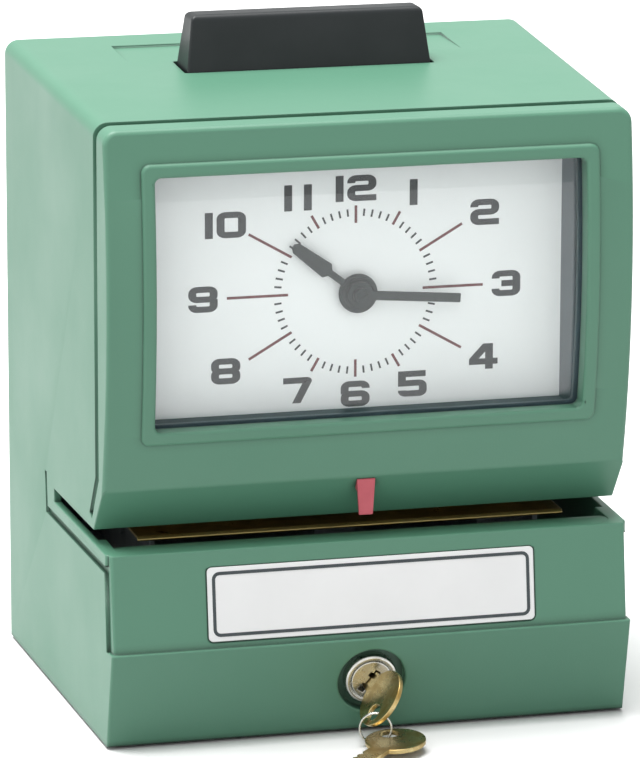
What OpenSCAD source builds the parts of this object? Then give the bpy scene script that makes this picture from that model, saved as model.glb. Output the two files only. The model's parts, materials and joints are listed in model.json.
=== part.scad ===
// Manual-print time recorder: a moulded cover that pulls forward off a wall-hung chassis.
// Lengths are millimetres. X runs to the right, the front faces -Y and Z is up.
// A depth is measured forward from the outer face of the back plate.

/* [Case] */
// Width of the case at its open back
case_w = 212; // [196:1:230]
// Height of the case at its back edge
case_h = 244; // [238:1:260]
// Height of the cover's lower rim above the desk
rim_z = 1; // [0.5:0.1:1.4]
// Wall thickness of the cover
wall = 3; // [2:0.1:3.6]
// Draft of each side wall in degrees
side_draft = 1.52; // [0.8:0.01:2.2]
// Fall of the top towards the front in degrees
top_draft = 2.8; // [2:0.1:3.4]
// Radius of the long top edges
corner_r = 5.5; // [4.5:0.1:8]
// Depth of the front face where it is fullest
front_peak = 163.5; // [162:0.5:172]
// Distance of the front face's fullest height below the case's back edge
front_peak_drop = 68; // [60:1:78]
// Radius of the front face in side view
front_r = 340; // [300:5:480]
// Height of the edge between front face and chin
chin_z = 99; // [95:0.5:108]
// Depth of the chin's lower lip
lip_d = 140; // [139:0.5:144]
// Depth of the skirt's front at the rim
skirt_d = 158.7; // [156:0.1:164]
// Depth of the skirt's front at its top edge
skirt_top_d = 167.5; // [166.6:0.1:172]
// Height of the ledge between skirt and nameplate block
ledge_z = 39; // [36:0.5:42]
// Depth of the nameplate block's face at the ledge
block_foot_d = 165.5; // [164.5:0.1:166.4]
// Depth of the nameplate block's face at its top
block_top_d = 160.6; // [160:0.1:163]
// Inset of the block's ends behind the side planes
block_step = 1.2; // [0.6:0.1:2]
// Depth at which the reveal groove runs round top and sides
groove_d = 146.4; // [143:0.1:147]
// Width of the reveal groove
groove_w = 3.2; // [2:0.1:3.6]
// Depth of the reveal groove
groove_deep = 2.6; // [1.6:0.1:3]
// Width of the fine grooves beside the slot and the block
step_w = 1.5; // [1:0.1:2]
// Depth of the fine grooves beside the slot and the block
step_deep = 1.5; // [0.8:0.1:1.8]

/* [Card slot] */
// Depth at which the slot ends
slot_back_d = 77; // [76:0.5:80]
// Height of the slot's floor at the cheeks
slot_floor_z = 75.8; // [75.5:0.1:76]
// Height of the chin's lip above the slot
lip_z = 81; // [80.6:0.1:83]
// Half width of the scooped floor between the cheeks
scoop_half = 96.5; // [90:0.5:97.5]
// Depth of the scoop's front edge
scoop_front_d = 159.2; // [157:0.1:159.4]
// Fall of the scooped floor from front to rear
scoop_fall = 5.2; // [4.4:0.1:6]
// Half width of the card guides
guide_half = 84; // [79:0.5:90]
// Thickness of the card guide plates
guide_t = 1; // [0.8:0.1:1.2]
// Top of the lower card guide
guide_low_z = 75.4; // [75:0.1:75.6]
// Underside of the upper card guide
guide_high_z = 80.2; // [80.2:0.1:80.6]
// How far the guides' front edges lie behind the chin's lip
guide_set = 5.6; // [5.4:0.1:8]

/* [Window] */
// Width of the window opening
window_w = 166; // [150:1:168]
// Height of the window opening
window_h = 96.6; // [90:0.2:97]
// Distance of the window's centre below the case's back edge
window_drop = 73.7; // [73:0.1:75]
// Margin of the raised bezel round the opening
bezel_margin = 5.2; // [4:0.1:5.6]
// How far the bezel stands proud of the front face
bezel_proud = 1.6; // [0.8:0.1:2.2]
// How far the lens lies behind the front face
lens_back = 6.5; // [5:0.1:7]
// Thickness of the lens
lens_t = 2; // [1.5:0.1:2.4]
// Overlap of the lens behind the opening
lens_margin = 1.6; // [1.2:0.1:2]
// Thickness of the frame behind the lens
retainer_t = 2; // [1.2:0.1:2.2]

/* [Push bar] */
// Width of the push bar at the slot
bar_w = 97; // [80:1:104]
// Front to back size of the push bar at the slot
bar_deep = 18.6; // [14:0.2:20]
// Width of the push bar across its top
bar_top_w = 92.5; // [70:0.5:96]
// Front to back size of the push bar's top
bar_top_deep = 12.6; // [9:0.2:14]
// Depth of the push bar's middle
bar_d = 60; // [58:0.5:62]
// How far the push bar's top stands above the case's back edge
bar_rise = 18; // [12:0.5:22]
// Radius of the push bar's top edges
bar_r = 2.6; // [1:0.1:3]
// Gap between push bar and slot edge
bar_gap = 1.2; // [0.8:0.1:1.6]
// Travel of the push bar
bar_travel = 8.4; // [6:0.1:8.4]

/* [Lock and keys] */
// Height of the lock's centre on the skirt
lock_z = 21.2; // [20:0.1:22.5]
// Radius of the recess round the lock
lock_recess_r = 13.2; // [12:0.1:14]
// Depth of the recess round the lock
lock_recess = 4.5; // [3:0.1:5]
// Radius of the lock's flange
flange_r = 10.25; // [9.8:0.05:11.2]
// Radius of the lock's threaded barrel
barrel_r = 9.4; // [9:0.1:9.6]
// Radius of the turning plug
plug_r = 7.8; // [7.4:0.1:8]
// Turn of the key from upright in degrees
key_turn = 35; // [30:1:40]
// Radius of the key bows
bow_r = 11.5; // [11:0.1:12]
// Distance of the bow's centre in front of the lock
bow_out = 14; // [13:0.5:15]
// Thickness of the keys
key_t = 1.8; // [1.6:0.1:1.9]
// Width of the key blades
blade_w = 8; // [7:0.1:8.2]
// Length of the blade behind the lock's face
blade_l = 22; // [18:0.5:23]
// Radius of the hole in a key bow
key_hole_r = 3.5; // [3.4:0.1:3.6]
// Mean radius of the key ring
ring_r = 6; // [5.8:0.1:6.2]
// Radius of each turn of ring wire
wire_r = 0.42; // [0.36:0.02:0.44]
// Turn of the key ring about the vertical in degrees
ring_turn = 15; // [12:1:18]
// Turn of the spare key on the desk in degrees
spare_turn = 48; // [44:1:50]
// Slope of the spare key towards its tip in degrees
spare_slope = 4.2; // [3.8:0.1:4.3]

/* [Chassis] */
// Thickness of the back plate and base plate
plate_t = 2; // [1.6:0.1:2.4]
// Gap between chassis plates and the cover's inside
plate_gap = 0.6; // [0.5:0.1:1.2]
// Height of the rubber feet
foot_h = 1.5; // [1.4:0.1:2]
// Radius of the rubber feet
foot_r = 8; // [6:0.5:10]
// Distance of the feet from the middle plane
foot_x = 80; // [60:1:84]
// Distance of each side frame from the case's side at the back
frame_set = 29; // [28:0.5:31]
// Thickness of the side frames
frame_t = 2; // [1.6:0.1:2.4]
// Distance of the side frames' top below the case's back edge
frame_drop = 27; // [26:0.5:28]
// Half distance of the wall fixings
hang_x = 60; // [40:1:66]
// Height of the keyholes
hang_z = 186; // [170:1:190]
// Radius of the keyhole entries
hang_r = 5; // [4:0.1:6]
// Height of the lower screw holes
screw_z = 42; // [40:1:60]
// Radius of the lower screw holes
screw_r = 2.4; // [2:0.1:3]
// Position of the cord inlet across the back
inlet_x = 55; // [50:1:62]
// Height of the cord inlet
inlet_z = 22; // [20:0.5:24]
// Bore radius of the cord inlet
inlet_r = 3.6; // [3:0.1:4.5]

/* [Movement] */
// Distance of the dial's centre below the window's centre
dial_drop = 3.6; // [2.9:0.1:4.3]
// How far the dial lies behind the fullest part of the front face
dial_set = 26.5; // [26.1:0.1:26.9]
// Radius of the minute arbor
arbor_r = 2; // [1.6:0.1:2.2]
// Length of the minute hand
minute_l = 39.4; // [34:0.2:41]
// Length of the hour hand
hour_l = 31.8; // [27:0.2:33]
// Minute hand's angle from twelve in degrees
minute_at = 94.6; // [0:0.1:360]
// Hour hand's angle from twelve in degrees
hour_at = 307.6; // [0:0.1:360]
// Tooth module of the centre wheel and motor pinion
drive_m = 0.7; // [0.7:0.01:0.72]
// Tooth module of the transfer gears
transfer_m = 1; // [0.96:0.01:1.04]
// Radius of the drive motor
motor_r = 23; // [18:0.5:23.5]
// Pitch radius of the bevel wheels
bevel_r = 6.5; // [6:0.1:6.6]

/* [Printer] */
// Height of the type wheels' shaft
type_z = 97.5; // [97.2:0.1:98]
// Radius over the type slugs
type_r = 14.5; // [14:0.1:14.7]
// Width of each type wheel
type_w = 9; // [7:0.1:9.4]
// Spacing of the type wheels
type_pitch = 11; // [10:0.1:11.4]
// Height of the ribbon spools
spool_z = 104; // [103.6:0.1:106]
// Radius of the spool flanges
spool_r = 16; // [14:0.1:17]
// Radius of the full ribbon roll
full_roll_r = 13; // [10.5:0.1:13.2]
// Radius of the emptied ribbon roll
spent_roll_r = 9; // [7.5:0.1:9.4]
// Depth of the push rod and return spring
rod_d = 46; // [45.6:0.1:46.4]
// Depth of the push lever's shaft
lever_d = 24; // [23.6:0.1:24.4]
// Depth of the hammer's shaft
hammer_d = 76; // [75.8:0.1:76.4]
// Height of the hammer's shaft
hammer_z = 64; // [63.6:0.1:64.4]
// Radius of the lever and hammer shafts
pivot_r = 3; // [2.6:0.1:3.2]
// Running clearance round a shaft
fit = 0.05; // [0.03:0.01:0.08]
// Gap between pieces that push one another
push_gap = 0.4; // [0.35:0.05:0.6]

/* [Hidden] */
$fn = 96;
arc_fn = 360;
front_peak_z = case_h - front_peak_drop;
window_z = case_h - window_drop;
dial_z = window_z - dial_drop;
skirt_tilt = atan((skirt_top_d - skirt_d) / (ledge_z - rim_z));
block_tilt = atan((block_foot_d - block_top_d) / (slot_floor_z - ledge_z));
lock_d = skirt_d + (lock_z - rim_z) * tan(skirt_tilt);
arc_d = front_peak - front_r;
chin_d = front_at(chin_z, 0);
chin_run = (chin_d - lip_d) / (chin_z - lip_z);
chin_tilt = atan(chin_run);
rear_edge = 0.4;
// Heights and depths that several pieces share
base_z = foot_h + plate_t;
bar_top_z = case_h + bar_rise;
frame_top_z = case_h - frame_drop;
lever_z = frame_top_z - 7;
frame_half = case_w / 2 - frame_set;
spool_x = frame_half - 21;
rod_x = frame_half - 15;
dial_d = front_peak - dial_set;
tray_d = dial_d + 10;
move_d = dial_d - 13;
print_d = move_d - 22;
guide_front_d = lip_d - guide_set;
scoop_end_d = lip_d - 4;
low_arm_z = guide_low_z - guide_t;
high_arm_z = guide_high_z + guide_t;
window_low = window_z - window_h / 2;
collar_margin = bezel_margin + 0.2;
lens_w = window_w + 2 * lens_margin;
lens_h = window_h + 2 * lens_margin;
roof_z = top_z(bar_d + bar_deep / 2 + 4, wall);
leg_z = frame_top_z + 6.5;
pad_z = leg_z - push_gap;
bar_leg_x = 40;
arm_low_z = lever_z - 5.6;
tail_z = hammer_z + 4;
ribbon_z = high_arm_z + 0.4;
ribbon_half = 6;
spool_rear_d = print_d - 7.5;
spool_front_d = print_d + 7.5;
minute_wheel_z = dial_z - 19.2;
transfer_x = 30 * transfer_m;
motor_x = -36 * drive_m;
spring_low_z = lever_z - 33.6;
// The keys: hole in the bow, then where ring and spare key lie
hole_u = -5;
hole_v = bow_out + 3.5;
key_up = [sin(key_turn), cos(key_turn)];
ring_x = hole_u * key_up[0];
ring_top_d = lock_d + hole_v * cos(skirt_tilt) + hole_u * key_up[1] * sin(skirt_tilt);
ring_top_z = lock_z - hole_v * sin(skirt_tilt) + hole_u * key_up[1] * cos(skirt_tilt);
ring_z = ring_top_z - ring_r;
hook = 60;
spare_x = ring_x + ring_r * sin(hook) * cos(ring_turn);
spare_d = ring_top_d + ring_r * sin(hook) * sin(ring_turn);
spare_z = ring_z - ring_r * cos(hook);
front_reach = spare_d + (blade_w / 2 - hole_u) * sin(spare_turn)
    + (hole_v + blade_l) * cos(spare_turn) * cos(spare_slope);
y_back = front_reach / 2;

green = [0.41, 0.60, 0.52];
black = [0.17, 0.18, 0.19];
white = [0.88, 0.9, 0.9];
zinc = [0.74, 0.76, 0.78];
gold = [0.78, 0.65, 0.35];
brass = [0.75, 0.6, 0.3];
dark = [0.33, 0.37, 0.38];

// Form of the case, inset by t from its outside
function half_w(d, t) = case_w / 2 - d * tan(side_draft) - t;
function top_z(d, t) = case_h - d * tan(top_draft) - t;
function front_at(z, t) = arc_d + sqrt(pow(front_r - t, 2) - pow(z - front_peak_z, 2));
function skirt_at(z) = skirt_d + (z - rim_z) * tan(skirt_tilt);
function block_at(z) = block_foot_d - (z - ledge_z) * tan(block_tilt);
function chin_at(z) = lip_d + (z - lip_z) * chin_run;

// Straight-sided tooth outline with n teeth of module m, one tooth at the angle given
function gear_points(n, m, angle) = [for (i = [0 : n - 1]) for (k = [-0.3, -0.115, 0.115, 0.3])
    let (a = angle + 360 / n * (i + k), r = m * (n / 2 + (abs(k) > 0.2 ? -1.15 : 0.8)))
    [r * cos(a), r * sin(a)]];

// Extrudes a side view drawn in depth and height
module along_x(x0, x1) {
    translate([x0, y_back, 0]) mirror([0, 1, 0]) rotate([90, 0, 90]) linear_extrude(x1 - x0) children();
}

// Extrudes a front view drawn in x and height
module along_depth(d0, d1) {
    translate([0, y_back - d0, 0]) rotate([90, 0, 0]) linear_extrude(d1 - d0) children();
}

// Extrudes a plan drawn in x and depth
module along_z(z0, z1) {
    translate([0, y_back, z0]) mirror([0, 1, 0]) linear_extrude(z1 - z0) children();
}

module block(x0, x1, d0, d1, z0, z1) {
    translate([x0, y_back - d1, z0]) cube([x1 - x0, d1 - d0, z1 - z0]);
}

module rod_x(d, z, r, x0, x1) {
    translate([x0, y_back - d, z]) rotate([0, 90, 0]) cylinder(r = r, h = x1 - x0);
}

module rod_depth(x, z, r, d0, d1) {
    translate([x, y_back - d0, z]) rotate([90, 0, 0]) cylinder(r = r, h = d1 - d0);
}

module rod_z(x, d, r, z0, z1) {
    translate([x, y_back - d, z0]) cylinder(r = r, h = z1 - z0);
}

module rounded(w, h, r) {
    square([w - 2 * r, h], center = true);
    square([w, h - 2 * r], center = true);
    for (x = [-1, 1]) for (y = [-1, 1]) translate([x * (w / 2 - r), y * (h / 2 - r)]) circle(r);
}

// Straight stroke of width w between two points of a side view
module stroke(p, q, w) {
    translate(p) rotate(atan2(q[1] - p[1], q[0] - p[0])) translate([-w / 2, -w / 2])
        square([norm(q - p) + w, w]);
}

// Local frame on the lock's axis, Z outwards
module at_lock() {
    translate([0, y_back - lock_d, lock_z]) rotate([90 + skirt_tilt, 0, 0]) children();
}

// Local frame on the nameplate block's face, Z outwards
module at_block(z) {
    translate([0, y_back - block_at(z), z]) rotate([90 - block_tilt, 0, 0]) children();
}

module front_circle(t) {
    translate([arc_d, front_peak_z]) circle(r = front_r - t, $fn = arc_fn);
}

// Shell between two insets from the front face
module front_skin(t0, t1) {
    along_x(-case_w, case_w) difference() {
        front_circle(t0);
        front_circle(t1);
    }
}

module plan(t, d0, d1) {
    polygon([[-half_w(d0, t), d0], [half_w(d0, t), d0], [half_w(d1, t), d1], [-half_w(d1, t), d1]]);
}

// Wedge that rounds one long top edge
module edge_wedge(t, side) {
    r = max(corner_r - t, 1);
    translate([side * half_w(0, t), y_back, top_z(0, t)]) rotate([0, 0, -side * side_draft])
        rotate([top_draft, 0, 0]) rotate([90, 0, 0]) translate([0, 0, -5])
        linear_extrude(210) mirror([side < 0 ? 1 : 0, 0]) difference() {
            translate([-r, -r]) square(r + 3);
            translate([-r, -r]) circle(r);
        }
}

// Drafted tunnel of sides and top
module tunnel(t, d0, d1) {
    difference() {
        intersection() {
            along_z(-6, case_h + 10) plan(t, d0, d1);
            along_x(-case_w, case_w)
                polygon([[d0 - 1, -8], [d1 + 1, -8], [d1 + 1, top_z(d1 + 1, t)], [d0 - 1, top_z(d0 - 1, t)]]);
        }
        edge_wedge(t, 1);
        edge_wedge(t, -1);
    }
}

module outer_profile() {
    polygon([[rear_edge, rim_z], [skirt_d, rim_z], [skirt_top_d, ledge_z], [block_foot_d, ledge_z],
        [block_top_d, slot_floor_z], [slot_back_d, slot_floor_z], [slot_back_d, lip_z], [lip_d, lip_z],
        [chin_d, chin_z], [chin_d - 6, chin_z + 20], [rear_edge, chin_z + 20]]);
    intersection() {
        polygon([[rear_edge, chin_z], [front_peak + 9, chin_z], [front_peak + 9, case_h + 9],
            [rear_edge, case_h + 9]]);
        front_circle(0);
    }
}

module cavity_profile() {
    drop = wall / cos(skirt_tilt);
    chin_back = wall / cos(chin_tilt);
    scoop_low = slot_floor_z - 3;
    intersection() {
        polygon([[-2, lip_z - 3], [lip_d - chin_back - 3 * chin_run, lip_z - 3],
            [chin_d - chin_back + 20 * chin_run, chin_z + 20], [front_peak, chin_z + 20],
            [front_peak, top_z(front_peak, wall)], [-2, top_z(-2, wall)]]);
        front_circle(wall);
    }
    polygon([[-2, -2], [skirt_at(-2) - drop, -2], [skirt_at(ledge_z - 3) - drop, ledge_z - 3],
        [block_foot_d - wall - 0.4, ledge_z], [block_at(scoop_low) - wall, scoop_low],
        [scoop_end_d, scoop_low - scoop_fall], [scoop_end_d, lip_z - 2], [-2, lip_z - 2]]);
}

// Side view of the reveal groove, widened by the margin given
module groove_path(margin) {
    w = groove_w + 2 * margin;
    translate([groove_d - w / 2, chin_z + 2.6]) square([w, 190]);
    stroke([groove_d, chin_z + 2.6], [groove_d - 9, lip_z + 6], w);
}

module side_grooves() {
    low = ledge_z + 0.2;
    high = slot_floor_z - 5.2;
    stroke([64, 84], [65.5, high], step_w);
    stroke([65.5, high], [block_top_d - 2.2, high], step_w);
    stroke([block_top_d - 2.2, high], [block_top_d + 0.3, low], step_w);
}

// Outline of the scooped floor, flat at the front and falling faster towards the rear
function scoop_floor() = let (run = scoop_front_d - scoop_end_d)
    [for (k = [[1, 1], [0.83, 0.54], [0.66, 0.23], [0.4, 0.05], [0, 0]])
        [scoop_front_d - k[0] * run, slot_floor_z - k[1] * (scoop_fall + 0.2)]];

module case_cover() {
    color(green) difference() {
        union() {
            difference() {
                intersection() {
                    tunnel(0, -1, 190);
                    along_x(-case_w, case_w) outer_profile();
                }
                intersection() {
                    along_z(-6, case_h + 10) plan(wall, -3, 190);
                    along_x(-case_w, case_w) cavity_profile();
                }
            }
            // Raised bezel and the collar behind it
            intersection() {
                along_depth(110, 200) translate([0, window_z])
                    rounded(window_w + 2 * bezel_margin, window_h + 2 * bezel_margin, 3.5);
                front_skin(-bezel_proud, wall - 1);
            }
            intersection() {
                along_depth(110, 200) translate([0, window_z])
                    rounded(window_w + 2 * collar_margin, window_h + 2 * collar_margin, 4);
                front_skin(wall - 1.2, lens_back + lens_t + retainer_t);
            }
            // Thicker wall behind the reveal groove
            intersection() {
                along_x(-case_w, case_w) intersection() {
                    groove_path(wall - 0.8);
                    outer_profile();
                }
                difference() {
                    tunnel(wall - 0.6, -1, 190);
                    tunnel(groove_deep + wall - 0.8, -3, 194);
                }
            }
            at_lock() translate([0, 0, -lock_recess - wall]) cylinder(r = lock_recess_r + wall, h = wall + 2);
        }
        // Opening and lens seat
        along_depth(110, 200) translate([0, window_z]) rounded(window_w, window_h, 2.5);
        intersection() {
            along_depth(110, 200) translate([0, window_z]) rounded(lens_w + 0.2, lens_h + 0.2, 2.1);
            along_x(-case_w, case_w) front_circle(lens_back);
        }
        // Slot for the push bar and the ramp behind it
        along_z(200, case_h + 9) translate([0, bar_d])
            rounded(bar_w + 2 * bar_gap, bar_deep + 2 * bar_gap, 1);
        along_x(-67, 67) polygon([[18.8, top_z(18.8, 1)], [18.8, case_h + 5], [49, case_h + 5],
            [49, top_z(49, 0)]]);
        // Scooped floor of the card slot
        intersection() {
            along_x(-case_w, case_w) polygon(concat([[slot_back_d, slot_floor_z - scoop_fall - 0.2]],
                scoop_floor(), [[scoop_front_d, lip_z], [slot_back_d, lip_z]]));
            along_z(40, 90) translate([0, 90]) rounded(2 * scoop_half, 2 * (scoop_front_d - 90), 8);
        }
        // Lock recess and hole
        at_lock() translate([0, 0, -lock_recess]) cylinder(r = lock_recess_r, h = 20);
        at_lock() translate([0, 0, -20]) cylinder(r = barrel_r + fit, h = 20);
        // Seat of the nameplate
        at_block(55.3) translate([0, 0, -0.6]) linear_extrude(5) rounded(128.2, 28.8, 2);
        // Grooves and the stepped ends of the block
        difference() {
            along_x(-case_w, case_w) groove_path(0);
            tunnel(groove_deep, -3, 190);
        }
        difference() {
            along_x(-case_w, case_w) side_grooves();
            along_z(-2, case_h) plan(step_deep, -3, 190);
        }
        difference() {
            along_x(-case_w, case_w) polygon([[block_top_d + 0.3, ledge_z], [190, ledge_z],
                [190, lip_z], [block_top_d - 2.2, lip_z], [block_top_d - 2.2, slot_floor_z - 5]]);
            along_z(-2, case_h) plan(block_step, -3, 190);
        }
    }
}

module dial_lens() {
    color([0.85, 0.9, 0.92, 0.35]) intersection() {
        along_depth(110, 200) translate([0, window_z]) rounded(lens_w, lens_h, 2);
        front_skin(lens_back + fit, lens_back + lens_t);
    }
}

module lens_retainer() {
    color(white) intersection() {
        along_depth(110, 200) translate([0, window_z]) difference() {
            rounded(lens_w, lens_h, 2);
            rounded(window_w - 2, window_h - 2, 2);
        }
        front_skin(lens_back + lens_t + fit, lens_back + lens_t + retainer_t);
    }
}

module nameplate() {
    color(white) at_block(55.3) translate([0, 0, -0.6]) linear_extrude(0.9) rounded(127.6, 28.2, 1.8);
}

module card_pointer() {
    // Tab that hangs upright from the chin's upper edge, narrower towards the slot
    top = chin_z - 1;
    low = lip_z + 2.8;
    foot = top - 4.4;
    face_d = chin_at(top) + 0.4;
    color([0.8, 0.35, 0.38]) intersection() {
        along_x(-5, 5) polygon([[chin_at(top), top], [face_d, top - 0.4], [face_d, low], [face_d - 1.3, low],
            [face_d - 1.3, foot - 1], [chin_at(foot), foot]]);
        along_depth(120, 180) polygon([[-3.6, top], [3.6, top], [2.7, low], [-2.7, low]]);
    }
}

module lock_barrel() {
    color(zinc) at_lock() difference() {
        union() {
            translate([0, 0, -lock_recess]) cylinder(r = flange_r, h = lock_recess - 0.9);
            translate([0, 0, -0.9]) cylinder(r1 = flange_r, r2 = flange_r - 0.7, h = 0.7);
            translate([0, 0, -25]) cylinder(r = barrel_r, h = 22);
        }
        translate([0, 0, -30]) cylinder(r = plug_r + fit, h = 40);
    }
}

module lock_nut() {
    color(zinc) at_lock() translate([0, 0, -lock_recess - wall - 4]) difference() {
        cylinder(r = 14, h = 4, $fn = 6);
        translate([0, 0, -1]) cylinder(r = barrel_r + fit, h = 6);
    }
}

module push_bar() {
    low = roof_z - 0.4;
    // Section of the bar from its flange up to the rounded top edges
    function bar_outline(w0, w1) = concat([[-w0 / 2, low], [w0 / 2, low], [w0 / 2, low + 4]],
        [for (a = [0 : 15 : 90]) [w1 / 2 - bar_r + bar_r * cos(a), bar_top_z - bar_r + bar_r * sin(a)]],
        [for (a = [90 : 15 : 180]) [-w1 / 2 + bar_r + bar_r * cos(a), bar_top_z - bar_r + bar_r * sin(a)]],
        [[-w0 / 2, low + 4]]);
    color(black) {
        intersection() {
            along_depth(bar_d - bar_deep, bar_d + bar_deep) polygon(bar_outline(bar_w, bar_top_w));
            along_x(-bar_w, bar_w) translate([bar_d, 0]) polygon(bar_outline(bar_deep, bar_top_deep));
        }
        block(-bar_w / 2 - 4, bar_w / 2 + 4, bar_d - bar_deep / 2 - 3, bar_d + bar_deep / 2 + 3,
            low - 3, low);
        for (x = [-bar_leg_x, bar_leg_x]) block(x - 4, x + 4, bar_d - 1.5, bar_d + 4, leg_z, low - 3);
    }
}

// Outline of a key in its own plane, blade towards -y
module key_outline(blade_end) {
    difference() {
        union() {
            translate([0, bow_out]) circle(bow_r);
            polygon([[-blade_w / 2, -blade_end], [blade_w / 2, -blade_end], [blade_w / 2, 5],
                [-blade_w / 2, 5]]);
        }
        translate([hole_u, hole_v]) circle(key_hole_r);
        for (i = [0 : 4]) translate([-blade_w / 2, -blade_end + 3.5 + i * 3.6]) rotate(45)
            square(1.5 + 0.4 * (i % 3), center = true);
    }
}

module key() {
    color(brass) at_lock() rotate([0, 0, -key_turn]) translate([-key_t / 2, 0, 0]) rotate([90, 0, 90])
        linear_extrude(key_t) key_outline(blade_l);
}

module lock_plug() {
    color(brass) at_lock() rotate([0, 0, -key_turn]) difference() {
        union() {
            translate([0, 0, -27]) cylinder(r = plug_r, h = 26.8);
            translate([-3.4, -3.4, -29.5]) cube([6.8, 6.8, 3]);
        }
        // Keyway with its wards
        translate([-key_t / 2 - 0.25, -blade_w / 2 - 0.3, -blade_l - 0.5])
            cube([key_t + 0.5, blade_w + 0.6, 40]);
        translate([-key_t / 2 - 1.4, -blade_w / 2 - 2, -6]) cube([key_t + 0.9, 3.4, 20]);
        translate([-key_t / 2 - 1.4, 0.8, -6]) cube([2, 1.9, 20]);
        translate([key_t / 2 - 0.4, -2.2, -6]) cube([1.6, 1.9, 20]);
        translate([0, 0, -30]) cylinder(r = 1.55, h = 6);
    }
}

module lock_cam() {
    color(zinc) at_lock() translate([0, 0, -29.5]) linear_extrude(2.4) difference() {
        union() {
            circle(7);
            rotate(10) translate([-24, -3.5]) square([24, 7]);
        }
        rotate(-key_turn) square(6.9, center = true);
    }
}

module cam_screw() {
    color(zinc) at_lock() {
        translate([0, 0, -32]) cylinder(r = 5, h = 2.5);
        translate([0, 0, -29.6]) cylinder(r = 1.5, h = 5);
    }
}

module key_ring() {
    color(zinc) translate([ring_x, y_back - ring_top_d, ring_z]) rotate([0, 0, -ring_turn]) rotate([90, 0, 0])
        for (i = [-1, 1]) translate([0, 0, i * wire_r * 0.9]) rotate_extrude() translate([ring_r, 0])
            circle(wire_r, $fn = 24);
}

module spare_key() {
    color(brass) translate([spare_x, y_back - spare_d, spare_z]) rotate([0, 0, -spare_turn])
        rotate([spare_slope, 0, 0]) translate([-hole_u, -hole_v, -key_t / 2]) linear_extrude(key_t)
        key_outline(blade_l);
}

module back_plate() {
    w = 2 * (half_w(plate_t, wall) - plate_gap);
    high = top_z(plate_t, wall) - plate_gap;
    color(zinc) along_depth(0, plate_t) difference() {
        translate([0, (high + foot_h) / 2]) rounded(w, high - foot_h, 3);
        for (x = [-hang_x, hang_x]) {
            translate([x, hang_z]) circle(hang_r);
            translate([x, hang_z + 9]) circle(hang_r / 2);
            translate([x - hang_r / 2, hang_z]) square([hang_r, 9]);
            translate([x, screw_z]) circle(screw_r);
        }
        translate([inlet_x, inlet_z]) circle(inlet_r + 4.4);
    }
}

module cord_grommet() {
    color(black) difference() {
        union() {
            rod_depth(inlet_x, inlet_z, inlet_r + 4.4 - fit, 0.2, plate_t);
            rod_depth(inlet_x, inlet_z, inlet_r + 6.4, plate_t, plate_t + 2.5);
        }
        rod_depth(inlet_x, inlet_z, inlet_r, -1, plate_t + 5);
    }
}

module base_plate() {
    color(zinc) {
        along_z(foot_h, base_z) plan(wall + plate_gap, plate_t, 150);
        block(-4, 4, 134.5, 136.5, base_z, base_z + 7.5);
    }
}

module rubber_feet() {
    color(black) for (x = [-foot_x, foot_x]) for (d = [18, 136]) rod_z(x, d, foot_r, 0, foot_h);
}

// C-shaped side frame, open round the card slot
module frame_profile() {
    difference() {
        polygon([[plate_t, base_z], [move_d - 4, base_z], [move_d, base_z + 20], [move_d, low_arm_z],
            [slot_back_d - 3, low_arm_z], [slot_back_d - 3, high_arm_z], [move_d, high_arm_z],
            [move_d, frame_top_z - 14], [move_d - 16, frame_top_z], [plate_t, frame_top_z]]);
        translate([84, 158]) rounded(50, 62, 8);
        translate([34, 34]) rounded(36, 34, 8);
        translate([92, 34]) rounded(40, 34, 8);
        translate([lever_d, lever_z]) circle(pivot_r + fit);
        translate([hammer_d, hammer_z]) circle(pivot_r + fit);
    }
}

module left_frame() {
    color(zinc) {
        along_x(-frame_half, -frame_half + frame_t) frame_profile();
        // Seat of the return spring
        block(-frame_half + frame_t, -rod_x + 7, rod_d - 8, rod_d + 8, spring_low_z - 3, spring_low_z);
    }
}

module right_frame() {
    color(zinc) {
        along_x(frame_half - frame_t, frame_half) frame_profile();
        // Guides of the push rod
        for (z = [100, lever_z - 32]) difference() {
            block(rod_x - 7, frame_half - frame_t, rod_d - 6, rod_d + 6, z, z + 4);
            rod_z(rod_x, rod_d, 2.5 + fit, z - 1, z + 5);
        }
    }
}

module frame_posts() {
    inner = frame_half - frame_t;
    color(zinc) {
        for (p = [[12, 120], [112, frame_top_z - 12], [16, 26], [100, 14]])
            rod_x(p[0], p[1], 4, -inner, inner);
        // Posts between movement plate and dial
        for (x = [13 - window_w / 2, window_w / 2 - 13]) for (z =
            [window_low + 6, window_low + window_h - 12.6])
            rod_depth(x, z, 3, move_d + 2, dial_d - 1.2);
    }
}

module frame_screws() {
    color(zinc) {
        for (p = [[12, 120], [112, frame_top_z - 12], [16, 26], [100, 14]]) {
            rod_x(p[0], p[1], 4.5, frame_half, frame_half + 2.2);
            rod_x(p[0], p[1], 4.5, -frame_half - 2.2, -frame_half);
        }
        for (x = [-40, 40]) for (z = [high_arm_z + 8.8, frame_top_z - 5])
            rod_depth(x, z, 3.2, move_d + 2, move_d + 4);
    }
}

module movement_plate() {
    color(zinc) along_depth(move_d, move_d + 2) difference() {
        translate([-frame_half, high_arm_z]) square([2 * frame_half, frame_top_z - high_arm_z - 1]);
        translate([0, dial_z]) circle(arbor_r + fit);
        translate([transfer_x, dial_z]) circle(arbor_r + fit);
        translate([0, 112]) rounded(80, 24, 6);
        for (x = [-58, 58]) translate([x, dial_z - 16.7]) circle(11);
    }
}

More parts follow.
